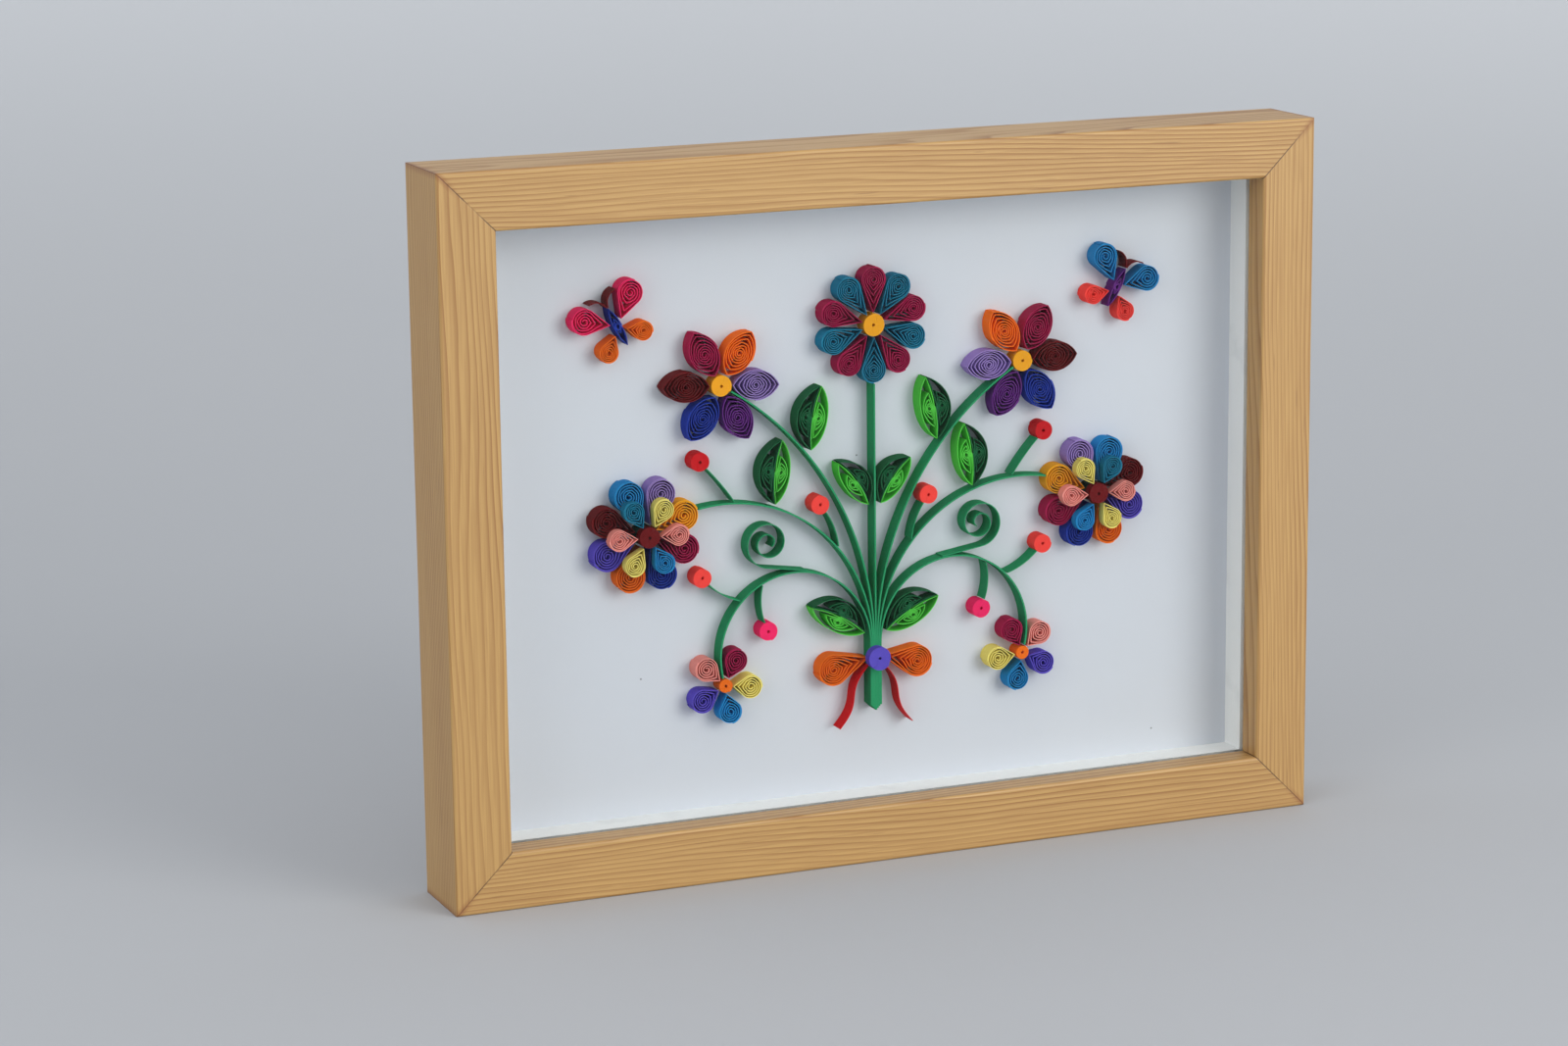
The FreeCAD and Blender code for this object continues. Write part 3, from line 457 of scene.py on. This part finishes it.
def mount(node, meshes, left=False):
    """Join strips into the piece that stands for a CAD node, on the card."""
    strips = []
    for number, mesh in enumerate(meshes):
        strip = bpy.data.objects.new(f"{node}_paper" if number == 0 else f"{node}_strip", mesh)
        bpy.context.scene.collection.objects.link(strip)
        strips.append(strip)
    piece = strips[0]
    with bpy.context.temp_override(active_object=piece, object=piece, selected_objects=strips,
                                   selected_editable_objects=strips):
        bpy.ops.object.join()
    upright = Matrix.Rotation(math.pi / 2, 4, "X")
    if left:
        piece.data.transform(Matrix.Diagonal((-1, 1, 1, 1)))
        piece.data.flip_normals()
    piece.data.transform(Matrix.Translation((0, card_front, middle_height)) @ upright)
    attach(piece, "root")
    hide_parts(node)


SIDES = (("right", False), ("left", True))

# Stems
# Strips of green card glued side by side. Below the gather they run as one bundle, and above
# it they part and bend in arcs towards the flowers.

STEM = 0.5 * MM
CENTRE_GAP = 0.4 * MM
GLUE = 0.05 * MM
SPRING = 0.04 * MM
FOOT_STEPS = 8
STEM_STEPS = 56
CENTRE_STEPS = 30
gather_level = -0.49 * half_height
foot_level = -0.72 * half_height
stem_green = paper("stem_green", (30, 146, 92))


def middle_of(node):
    """The flat middle and the radius of a CAD node."""
    low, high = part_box(node)
    return complex((low.x + high.x) / 2, (low.z + high.z) / 2 - middle_height), (high.x - low.x) / 2


TOP_FLOWER, TOP_CENTRE = middle_of("top_flower_centre")
UPPER_FLOWER, UPPER_CENTRE = middle_of("upper_flower_right_centre")
MIDDLE_FLOWER, MIDDLE_CENTRE = middle_of("middle_flower_right_centre")
LOWER_FLOWER, LOWER_CENTRE = middle_of("lower_flower_right_centre")


class ArcStem:
    """A stem that rises from the gather and bends to the right in one arc to a flower."""

    def __init__(self, rank, flower, kept_clear):
        self.flower = flower
        self.start = complex(rank * STEM, gather_level)
        self.foot = complex(rank * STEM, foot_level + rank * STEM)
        away = flower - self.start
        self.radius = abs(away) ** 2 / (2 * away.real)
        self.centre = self.start + self.radius
        whole = 2 * math.asin(min(1.0, abs(away) / (2 * self.radius)))
        self.whole = 2 * math.pi - whole if away.imag < 0 else whole
        self.sweep = self.angle_before(kept_clear + CENTRE_GAP)

    def angle_before(self, distance):
        """How far the arc has turned when it is a distance short of the flower."""
        return self.whole - 2 * math.asin(distance / (2 * self.radius))

    def arrival(self, distance):
        """The direction from the flower to the stem, at a distance from it, in degrees."""
        point = self.centre - self.radius * cmath.exp(-1j * self.angle_before(distance))
        return math.degrees(cmath.phase(point - self.flower))

    def at(self, share, aside=0.0):
        """A point a share of the way along, moved to the arc's outer side."""
        return self.centre + (self.radius + aside) * cmath.exp(1j * (math.pi - share * self.sweep))

    def direction(self, share):
        """Which way the arc runs there, in degrees."""
        return 90 - math.degrees(share * self.sweep)

    def points(self):
        """The stem's line, from its foot to its end."""
        rise = (self.start - self.foot) / FOOT_STEPS
        run = [self.foot + rise * number for number in range(FOOT_STEPS)]
        return run + [self.at(number / STEM_STEPS) for number in range(STEM_STEPS + 1)]


OUTER_REACH = 9.0 * MM
OUTER_RADIUS = 4.3 * MM
stems = {
    "upper": ArcStem(1, UPPER_FLOWER, UPPER_CENTRE),
    "middle": ArcStem(2, MIDDLE_FLOWER, MIDDLE_CENTRE + OUTER_REACH + OUTER_RADIUS + 0.25 * MM),
    "lower": ArcStem(3, LOWER_FLOWER, LOWER_CENTRE),
}
centre_rise = (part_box("stem_centre")[1].z - middle_height - foot_level) / CENTRE_STEPS
centre_line = [complex(0, foot_level + centre_rise * number) for number in range(CENTRE_STEPS + 1)]
mount("stem_centre", [ribbon(stem_green, centre_line, STEM - SPRING)])
for name, stem in stems.items():
    for side, left in SIDES:
        mount(f"stem_{name}_{side}", [ribbon(stem_green, stem.points(), STEM - SPRING)],
              left)

# Scrolls
# Thin green strips that leave the lower stems along their curve and curl up into an open
# spiral, left to spring to its own size before it is glued down.

TWIG = 0.3 * MM
SCROLL_SHARE = 0.42
SCROLL_RUN = 13.0 * MM
SCROLL_RADIUS = 7.0 * MM
SCROLL_TURNS = 1.85
SCROLL_EYE = 0.2
SCROLL_STEPS = 96


def scroll_line(stem, share):
    """A straight run off the stem, then a spiral that winds inwards."""
    start = stem.at(share, STEM / 2 + TWIG / 2 + GLUE)
    step = heading(stem.direction(share))
    curl_start = start + SCROLL_RUN * step
    centre = curl_start + 1j * SCROLL_RADIUS * step
    points = [start + SCROLL_RUN * step * number / 6 for number in range(6)]
    for number in range(SCROLL_STEPS + 1):
        part = number / SCROLL_STEPS
        spoke = SCROLL_RADIUS * (1 - (1 - SCROLL_EYE) * part)
        points.append(centre - 1j * spoke * step * cmath.exp(2j * math.pi * SCROLL_TURNS * part))
    return points


for side, left in SIDES:
    curl = scroll_line(stems["lower"], SCROLL_SHARE)
    mount(f"scroll_{side}", [ribbon(stem_green, curl, TWIG - SPRING)], left)

# Berries
# Tight rolls of bright paper on thin curved twigs. Each twig is given by its stem, its place
# along it, its side, its lean from the stem, its length and how far it turns.

BERRY = 2.75 * MM
TWIG_STEPS = 20
TWIGS = [
    ("middle", 0.40, 1, 34, 11.0 * MM, -30),
    ("middle", 0.86, 1, 52, 13.0 * MM, -10),
    ("lower", 0.60, -1, -50, 11.0 * MM, -35),
    ("lower", 0.70, 1, 62, 11.0 * MM, 30),
]
coral = paper("coral", (255, 64, 56))
hot_pink = paper("hot_pink", (250, 30, 98))
red = paper("red", (206, 12, 20))
BERRY_PAPERS = [coral, red, hot_pink, coral]


def twig_line(stem_name, share, side, lean, length, turning):
    """A twig's line and the middle of the berry at its end."""
    stem = stems[stem_name]
    direction = stem.direction(share) + lean
    point = stem.at(share, side * (STEM / 2 + GLUE)) + heading(direction) * TWIG
    points = [point]
    for number in range(TWIG_STEPS):
        point += heading(direction) * length / TWIG_STEPS
        direction += turning / TWIG_STEPS
        points.append(point)
    return points, point + heading(direction) * (BERRY + GLUE)


for side, left in SIDES:
    lines, places = zip(*(twig_line(*twig) for twig in TWIGS))
    mount(f"berry_twigs_{side}", [ribbon(stem_green, line, TWIG - SPRING) for line in lines],
          left)
    mount(f"berries_{side}",
          [tight_roll(dye, place, BERRY) for dye, place in zip(BERRY_PAPERS, places)],
          left)

# Leaves
# Each leaf is two half coils, one lime and one dark green, glued along a curved midrib. It is
# given by its place along its stem, its side and its lean from the stem.

LEAF_LENGTH = 18.5 * MM
LEAF_WIDTH = 4.6 * MM
LEAF_BEND = 1.2 * MM
LEAF_OFF_STEM = STEM / 2 + 0.6 * MM
CENTRE_LEAF_SHARE = 0.45
CENTRE_LEAF_LEAN = 54
CENTRE_LEAF_SCALE = 0.85
LEAVES = {"upper": (0.68, 1, 50), "middle": (0.72, 1, 80), "lower": (0.06, -1, -50)}
lime = paper("lime", (80, 204, 64))
dark_green = paper("dark_green", (10, 92, 50))


def two_tone_leaf(root, turned, scale=1.0, flip=1):
    """A pair of half leaves along one midrib."""
    sizes = (LEAF_LENGTH * scale, LEAF_WIDTH * scale, LEAF_BEND * flip)
    upper = half_leaf(lime if flip > 0 else dark_green, root, turned, *sizes, False)
    lower = half_leaf(dark_green if flip > 0 else lime, root, turned, *sizes, True)
    return [upper, lower]


for side, left in SIDES:
    for name, (share, outer, lean) in LEAVES.items():
        stem = stems[name]
        root = stem.at(share, outer * LEAF_OFF_STEM)
        mount(f"leaf_{name}_{side}", two_tone_leaf(root, stem.direction(share) + lean, flip=outer),
              left)
    root_level = gather_level + CENTRE_LEAF_SHARE * (TOP_FLOWER.imag - gather_level)
    centre_leaf = two_tone_leaf(complex(LEAF_OFF_STEM, root_level), CENTRE_LEAF_LEAN,
                                CENTRE_LEAF_SCALE, -1)
    mount(f"leaf_centre_{side}", centre_leaf, left)

# Flowers
# Petals pinched to teardrops or eyes stand in a ring round a tight roll. The middle flowers
# have a second, upper ring glued on the first.

teal = paper("teal", (16, 116, 150))
sky_blue = paper("sky_blue", (26, 134, 200))
royal_blue = paper("royal_blue", (24, 50, 158))
violet = paper("violet", (100, 34, 128))
purple_blue = paper("purple_blue", (88, 72, 192))
lilac = paper("lilac", (152, 124, 194))
crimson = paper("crimson", (168, 12, 68))
dark_red = paper("dark_red", (104, 4, 8))
orange = paper("orange", (248, 108, 14))
amber = paper("amber", (248, 166, 24))
pale_yellow = paper("pale_yellow", (246, 228, 116))
pale_pink = paper("pale_pink", (248, 150, 140))
deep_green = paper("deep_green", (6, 50, 34))


def petals_round(place, first_angle, inner_radius, dyes, length, radius, **values):
    """Teardrops with their tips at the middle, in the order of their papers."""
    ring = []
    for number, dye in enumerate(dyes):
        angle = first_angle + 360 * number / len(dyes)
        middle = place + heading(angle) * (inner_radius + CENTRE_GAP + length)
        ring.append(teardrop(dye, middle, angle + 180, length, radius, **values))
    return ring


top_petals = petals_round(TOP_FLOWER, 18, TOP_CENTRE, [crimson, teal] * 5, 9.3 * MM, 3.7 * MM)
mount("top_flower_petals", top_petals)
mount("top_flower_centre", [tight_roll(amber, TOP_FLOWER, TOP_CENTRE)])

UPPER_LENGTH = 14.0 * MM
UPPER_WIDTH = 8.6 * MM
UPPER_PAPERS = [violet, royal_blue, dark_red, crimson, orange, lilac]
upper_arrival = stems["upper"].arrival(UPPER_CENTRE + UPPER_LENGTH / 2)
for side, left in SIDES:
    ring = []
    for number, dye in enumerate(UPPER_PAPERS):
        angle = upper_arrival + 30 + 60 * number
        middle = UPPER_FLOWER + heading(angle) * (UPPER_CENTRE + CENTRE_GAP + UPPER_LENGTH / 2)
        ring.append(eye_coil(dye, middle, angle, UPPER_LENGTH, UPPER_WIDTH))
    mount(f"upper_flower_{side}_petals", ring, left)
    mount(f"upper_flower_{side}_centre", [tight_roll(amber, UPPER_FLOWER, UPPER_CENTRE)],
          left)

OUTER_PAPERS = [dark_red, sky_blue, lilac, amber, crimson, royal_blue, orange, purple_blue]
INNER_PAPERS = [pale_pink, teal, pale_yellow, pale_pink, sky_blue, pale_yellow]
upper_layer = {"depth": UPPER_DEPTH, "level": STRIP_DEPTH}
for side, left in SIDES:
    mount(f"middle_flower_{side}_outer_petals",
          petals_round(MIDDLE_FLOWER, 22.5, MIDDLE_CENTRE, OUTER_PAPERS, OUTER_REACH, OUTER_RADIUS),
          left)
    mount(f"middle_flower_{side}_inner_petals",
          petals_round(MIDDLE_FLOWER, 0, MIDDLE_CENTRE, INNER_PAPERS, 5.4 * MM, 3.0 * MM, turns=5,
                       **upper_layer), left)
    mount(f"middle_flower_{side}_centre",
          [tight_roll(deep_green, MIDDLE_FLOWER, MIDDLE_CENTRE),
           tight_roll(dark_red, MIDDLE_FLOWER, MIDDLE_CENTRE, **upper_layer)],
          left)

LOWER_REACH = 5.4 * MM
LOWER_PAPERS = [crimson, pale_yellow, sky_blue, purple_blue, pale_pink]
lower_arrival = stems["lower"].arrival(LOWER_CENTRE + LOWER_REACH)
for side, left in SIDES:
    mount(f"lower_flower_{side}_petals",
          petals_round(LOWER_FLOWER, lower_arrival + 36, LOWER_CENTRE, LOWER_PAPERS,
                       LOWER_REACH, 3.4 * MM, turns=5), left)
    mount(f"lower_flower_{side}_centre", [tight_roll(orange, LOWER_FLOWER, LOWER_CENTRE)],
          left)

# Butterflies
# Teardrop wings of bright paper meet an eye-shaped body with two curled feelers. Each wing is
# given by its side, its angle from the body, its length, its radius and its place along it.

BODY_LEAN = 62
BODY_LENGTH = 12.0 * MM
BODY_WIDTH = 2.4 * MM
FEELER_LEAN = 8
FEELER_TURNING = 90
FEELER_LENGTH = 6.0 * MM
FEELER_STEPS = 20
WINGS = [
    (1, 50, 7.6 * MM, 3.7 * MM, 1.6 * MM),
    (-1, 50, 7.6 * MM, 3.7 * MM, 1.6 * MM),
    (1, 128, 5.0 * MM, 2.8 * MM, -1.8 * MM),
    (-1, 128, 5.0 * MM, 2.8 * MM, -1.8 * MM),
]
butterfly = complex(0.66 * half_width, 0.64 * half_height)


def feeler_line(side):
    """A feeler that starts at the head and curls outwards."""
    head = BODY_LENGTH / 2 + 0.3 * MM
    point = butterfly + heading(BODY_LEAN) * (head + 1j * side * 0.2 * MM)
    direction = BODY_LEAN + side * FEELER_LEAN
    points = [point]
    for number in range(FEELER_STEPS):
        point += heading(direction) * FEELER_LENGTH / FEELER_STEPS
        direction += side * FEELER_TURNING / FEELER_STEPS
        points.append(point)
    return points


for side, left in SIDES:
    fore, hind = (hot_pink, orange) if left else (sky_blue, coral)
    wing_papers = (fore, fore, hind, hind)
    wings = []
    for dye, (hand, spread, length, radius, along) in zip(wing_papers, WINGS):
        root = butterfly + heading(BODY_LEAN) * (along + 1j * hand * (BODY_WIDTH / 2 + 0.65 * MM))
        turned = BODY_LEAN + hand * spread
        middle = root + heading(turned) * length
        wings.append(teardrop(dye, middle, turned + 180, length, radius, turns=5))
    mount(f"butterfly_{side}_wings", wings, left)
    body_paper = royal_blue if left else violet
    body = eye_coil(body_paper, butterfly, BODY_LEAN, BODY_LENGTH, BODY_WIDTH, turns=3)
    feelers = [ribbon(dark_red, feeler_line(hand), TWIG - SPRING) for hand in (1, -1)]
    mount(f"butterfly_{side}_body", [body, *feelers], left)

# Bow
# Two pinched loops and two waved tails at the gather, with a tight roll glued over the stems
# as their knot.

BUNDLE_SIDE = 3.5 * STEM + CENTRE_GAP + 0.25 * MM
LOOP_REACH = 11.0 * MM
LOOP_RADIUS = 4.6 * MM
LOOP_LEAN = -14
KNOT, KNOT_RADIUS = middle_of("bow_knot")
TAIL_DROP = 18.0 * MM
TAIL_SPREAD = 9.0 * MM
TAIL_WAVE = 1.1 * MM
TAIL_STEPS = 40


def bow_loop(mirrored):
    """A loop with its tip at the stems."""
    middle = complex(BUNDLE_SIDE, KNOT.imag) + heading(LOOP_LEAN) * LOOP_REACH
    mesh = teardrop(orange, middle, LOOP_LEAN + 180, LOOP_REACH, LOOP_RADIUS, turns=7)
    if mirrored:
        mesh.transform(Matrix.Diagonal((-1, 1, 1, 1)))
        mesh.flip_normals()
    return mesh


def bow_tail(mirrored):
    """A tail that hangs in a gentle wave."""
    top = complex(BUNDLE_SIDE, KNOT.imag - LOOP_RADIUS / 2)
    points = []
    for number in range(TAIL_STEPS + 1):
        part = number / TAIL_STEPS
        wave = TAIL_WAVE * math.sin(2 * math.pi * part)
        point = top + complex(TAIL_SPREAD * part + wave, -TAIL_DROP * part)
        points.append(complex(-point.real, point.imag) if mirrored else point)
    return ribbon(red, points, PAPER)


mount("bow_loops", [bow_loop(False), bow_loop(True)])
mount("bow_tails", [bow_tail(False), bow_tail(True)])
mount("bow_knot", [tight_roll(purple_blue, KNOT, KNOT_RADIUS, **upper_layer)])

# Box frame
# Four lengths of pale pine moulding, mitred, glued and thinly varnished. Each was cut along
# the grain, so its year rings show as orange-brown lines that run the length of the rail.

RAIL_FACE = 16.5 * MM
PITH_BEHIND = 60.0 * MM
PITH_ASIDE = 50.0 * MM
GRAIN_SLANT = 0.02
RING_PERIOD = 1.3 * MM
RING_SWAY = 10.0 * MM
RING_RIPPLE = 1.0 * MM


def pine(name, upright, shift):
    """Pine whose rings run along a rail, with its mitre joints as dark hairlines."""
    plan = Finish(name)
    along_x, depth, along_z = plan.axes()
    along, across = (along_z, along_x) if upright else (along_x, along_z)

    def grain(share):
        """A stretch that draws a pattern out along the rail."""
        return (1, 1, share) if upright else (share, 1, 1)

    sway = plan.noise(38, 2, grain(0.12), (shift, 0, shift))
    ripple = plan.noise(150, 2, grain(0.12), (0, shift, 0))
    aside = across + GRAIN_SLANT * along + PITH_ASIDE + shift
    behind = depth - PITH_BEHIND
    from_pith = (aside * aside + behind * behind).maths("SQRT")
    ring = ((from_pith + sway * RING_SWAY + ripple * RING_RIPPLE) / RING_PERIOD).maths("FRACT")
    late = ring ** 2.6 * (1 - plan.smooth(ring, 0.92, 1.0))
    strength = plan.smooth(plan.noise(60, 1, grain(0.12), (0, 0, shift)), 0.25, 0.7)
    fine = plan.noise(2400, 2, grain(0.02))
    dash = plan.smooth(plan.noise(1100, 1, grain(0.05), (0, 0, 0.3)), 0.71, 0.79)
    tint = plan.noise(20, 2, grain(0.12), (0.4, shift, 0))
    colour = plan.blend(tint, srgb(195, 156, 95), srgb(185, 145, 84))
    colour = plan.blend(late * (0.45 + 0.55 * strength), colour, srgb(134, 84, 36))
    colour = plan.blend(plan.smooth(fine, 0.35, 0.75) * 0.45, colour, srgb(157, 114, 63))
    colour = plan.blend(dash * 0.4, colour, srgb(118, 74, 36))
    corner_x = half_width + RAIL_FACE - along_x.maths("ABSOLUTE")
    corner_z = along_z.maths("MINIMUM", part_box("rail_top")[1].z - along_z)
    mitre = (corner_x - corner_z).maths("ABSOLUTE")
    joint = 1 - plan.smooth(mitre, 0.10 * MM, 0.32 * MM)
    open_joint = plan.smooth(plan.noise(90, 1, (1, 1, 1), (0, 0, 2.0)), 0.3, 0.6)
    colour = plan.blend(joint * (0.25 + 0.65 * open_joint), colour, srgb(78, 50, 28))
    near_joint = 1 - plan.smooth(mitre, 0.2 * MM, 2.2 * MM)
    near_corner = 1 - plan.smooth(corner_x, 1.0 * MM, 8.0 * MM)
    colour = plan.blend(near_joint * near_corner * 0.55, colour, srgb(138, 82, 38))
    bump = fine * 0.5 - late * 0.5 - joint * 2.0
    return plan.finish(colour, 0.42 + 0.18 * late + 0.1 * fine, bump, 0.25, 0.08 * MM,
                       {"Coat Weight": 0.25, "Coat Roughness": 0.3})


for number, rail in enumerate(("rail_bottom", "rail_top", "rail_left", "rail_right")):
    dress(rail, pine(f"pine_{rail}", rail in ("rail_left", "rail_right"), 0.043 * (number + 1)))

# Steel fixings
# Wedges across the mitres, points that hold the backboard, the sawtooth hanger and its two
# rivets, all of zinc-plated steel.


def zinc_steel():
    """Sheet steel with the patchy grey spangle of its zinc."""
    plan = Finish("zinc_steel")
    spangle = plan.node("ShaderNodeTexVoronoi", {"feature": "F1"},
                        {"Vector": plan.place, "Scale": 900.0}, output="Color")
    scratch = plan.noise(3000, 2, (0.05, 1, 1))
    dull = plan.noise(60, 3)
    grey = plan.node("ShaderNodeRGBToBW", {}, {0: spangle})
    colour = plan.blend(grey, srgb(176, 178, 182), srgb(204, 206, 208))
    colour = plan.blend(plan.smooth(dull, 0.45, 0.8) * 0.5, colour, srgb(140, 140, 142))
    return plan.finish(colour, 0.30 + 0.2 * dull + 0.1 * scratch, scratch, 0.2, 0.04 * MM,
                       {"Metallic": 1.0})


steel = zinc_steel()
for node in ("corner_wedges", "backboard_tabs", "sawtooth_hanger", "hanger_rivets"):
    dress(node, steel)

# Glass
# One pane of plain float glass, cut to the rebate. It is laid in from behind against the lip
# and held there by the spacers.


def clear_glass():
    """Clear glass, with a gloss on its outer faces alone."""
    plan = Finish("clear_glass")
    clear = plan.node("ShaderNodeBsdfTransparent", {}, {"Color": (0.975, 0.985, 0.98, 1.0)})
    gloss = plan.node("ShaderNodeBsdfGlossy", {}, {"Color": (1, 1, 1, 1), "Roughness": 0.02})
    fresnel = plan.node("ShaderNodeFresnel", {}, {"IOR": 1.5})
    outward = 1 - plan.node("ShaderNodeNewGeometry", output="Backfacing")
    smear = plan.noise(18, 2)
    share = fresnel * outward * (0.26 + 0.1 * smear)
    mixed = plan.node("ShaderNodeMixShader", {}, {0: share, 1: clear, 2: gloss})
    plan.tree.links.new(mixed.socket, plan.tree.nodes["Material Output"].inputs["Surface"])
    plan.tree.nodes.remove(plan.shader)
    return plan.material


dress("glass_pane", clear_glass())

# Spacers
# Strips of white foam board, stood round the rebate between the glass and the card. They
# keep the paper clear of the glass.


def white_foam_board():
    """Foam board with a fine cell and a few faint smudges from handling."""
    plan = Finish("white_foam_board")
    cell = plan.noise(1500, 3)
    smudge = plan.smooth(plan.noise(70, 3, (1, 1, 1), (0.2, 0, 0.7)), 0.56, 0.72)
    colour = plan.blend(cell, srgb(240, 240, 238), srgb(247, 247, 245))
    colour = plan.blend(smudge * 0.15, colour, srgb(170, 172, 174))
    return plan.finish(colour, 0.6 + 0.15 * cell, cell, 0.15)


foam_board = white_foam_board()
for node in ("spacer_bottom", "spacer_top", "spacer_left", "spacer_right"):
    dress(node, foam_board)

# Backboard
# A sheet of brown fibreboard, pressed on the card from behind by the steel points. The
# hanger is riveted to it.


def fibreboard():
    """Pressed brown fibre with darker flecks."""
    plan = Finish("fibreboard")
    fibre = plan.noise(700, 4, (1, 1, 0.5))
    fleck = plan.smooth(plan.noise(1300, 2), 0.6, 0.75)
    cloud = plan.noise(25, 2)
    colour = plan.blend(fibre, srgb(128, 92, 62), srgb(160, 120, 84))
    colour = plan.blend(cloud * 0.3, colour, srgb(112, 80, 54))
    colour = plan.blend(fleck * 0.4, colour, srgb(84, 58, 38))
    return plan.finish(colour, 0.62 + 0.2 * fibre, fibre)


dress("backboard", fibreboard())

# Floor and backdrop
# One pale sheet of paper, flat under the frame and curved up behind it without a crease. It
# isn't part of the object. Its colour is painted lighter up the curve, as painted light on the
# wall.

SWEEP_HALF = 5.0
FLOOR_FRONT = 5.0
SWEEP_START = 0.42
SWEEP_RADIUS = 1.6
SWEEP_TOP = 3.0
SWEEP_STEPS = 24
SWEEP_TURN = math.radians(-22.4)


def sweep():
    """A floor that runs into a wall through a quarter circle, turned to face the viewer, with
    painted light that makes the wall paler than the floor.
    """
    line = [(-FLOOR_FRONT, 0.0), (SWEEP_START, 0.0)]
    for number in range(1, SWEEP_STEPS + 1):
        angle = math.pi / 2 * number / SWEEP_STEPS
        y = SWEEP_START + SWEEP_RADIUS * math.sin(angle)
        line.append((y, SWEEP_RADIUS * (1 - math.cos(angle))))
    line.append((SWEEP_START + SWEEP_RADIUS, SWEEP_TOP))
    points = []
    faces = []
    for number, (y, z) in enumerate(line):
        points += [(-SWEEP_HALF, y, z), (SWEEP_HALF, y, z)]
        if number:
            first = 2 * (number - 1)
            faces.append((first, first + 1, first + 3, first + 2))
    mesh = bpy.data.meshes.new("sweep")
    mesh.from_pydata(points, [], faces)
    mesh.transform(Matrix.Rotation(SWEEP_TURN, 4, "Z"))
    mesh.shade_smooth()
    plan = Finish("sweep_paper")
    height = plan.axes()[2]
    colour = plan.blend(plan.noise(2.0, 2), srgb(178, 181, 184), srgb(184, 186, 189))
    # Painted light: the paper is made lighter from the floor up into the wall, as if the wall
    # caught more of the lamps.
    colour = plan.blend(plan.smooth(height, 0.0, 0.22), colour, srgb(205, 208, 211))
    mesh.materials.append(plan.finish(colour, 0.8))
    piece = bpy.data.objects.new("sweep", mesh)
    bpy.context.scene.collection.objects.link(piece)


sweep()

# Light and camera
# A large soft lamp in front on the right, a weaker one on the left, and an even pale room.
# The camera stands where the photograph was taken.

LENS = 96.74
SENSOR_WIDTH = 36.0
RIGHT = Vector((0.92313657, -0.38430732, -0.01125873))
UP = Vector((0.0916518, 0.19152669, 0.97719879))
BACK = Vector((-0.3733883, -0.90311982, 0.21202775))
CAMERA_PLACE = Vector((-0.47117, -1.07060, 0.34967))
LAMP_TARGET = Vector((0, 0, 0.1))


def soft_lamp(name, place, width, power, colour):
    """A round soft lamp that points at the object."""
    lamp = bpy.data.lights.new(name, "AREA")
    lamp.shape = "DISK"
    lamp.size = width
    lamp.energy = power
    lamp.color = colour
    holder = bpy.data.objects.new(name, lamp)
    holder.location = place
    holder.rotation_euler = (LAMP_TARGET - Vector(place)).to_track_quat("-Z", "Y").to_euler()
    bpy.context.scene.collection.objects.link(holder)


soft_lamp("key_lamp", (1.35, -2.25, 0.85), 1.8, 41.0, (1.0, 0.98, 0.95))
soft_lamp("left_lamp", (-2.2, -1.2, 1.0), 2.0, 11.0, (1.0, 0.99, 0.97))

world = bpy.data.worlds.new("room")
world.use_nodes = True
room = Plan(world.node_tree)
upward = room.node("ShaderNodeSeparateXYZ", {}, {0: room.node("ShaderNodeTexCoord")}).output("Z")
low_glow = (0.66, 0.68, 0.71, 1.0)
high_glow = (0.84, 0.86, 0.90, 1.0)
glow = room.blend(room.smooth(upward, -0.2, 0.8), low_glow, high_glow)
room.tree.links.new(glow.socket, world.node_tree.nodes["Background"].inputs["Color"])
bpy.context.scene.world = world

lens = bpy.data.cameras.new("camera")
lens.lens = LENS
lens.sensor_width = SENSOR_WIDTH
lens.sensor_fit = "HORIZONTAL"
camera = bpy.data.objects.new("camera", lens)
turned = Matrix((RIGHT, UP, BACK)).transposed().to_4x4()
camera.matrix_world = Matrix.Translation(CAMERA_PLACE) @ turned
bpy.context.scene.collection.objects.link(camera)
bpy.context.scene.camera = camera
bpy.context.scene.view_settings.view_transform = "Standard"
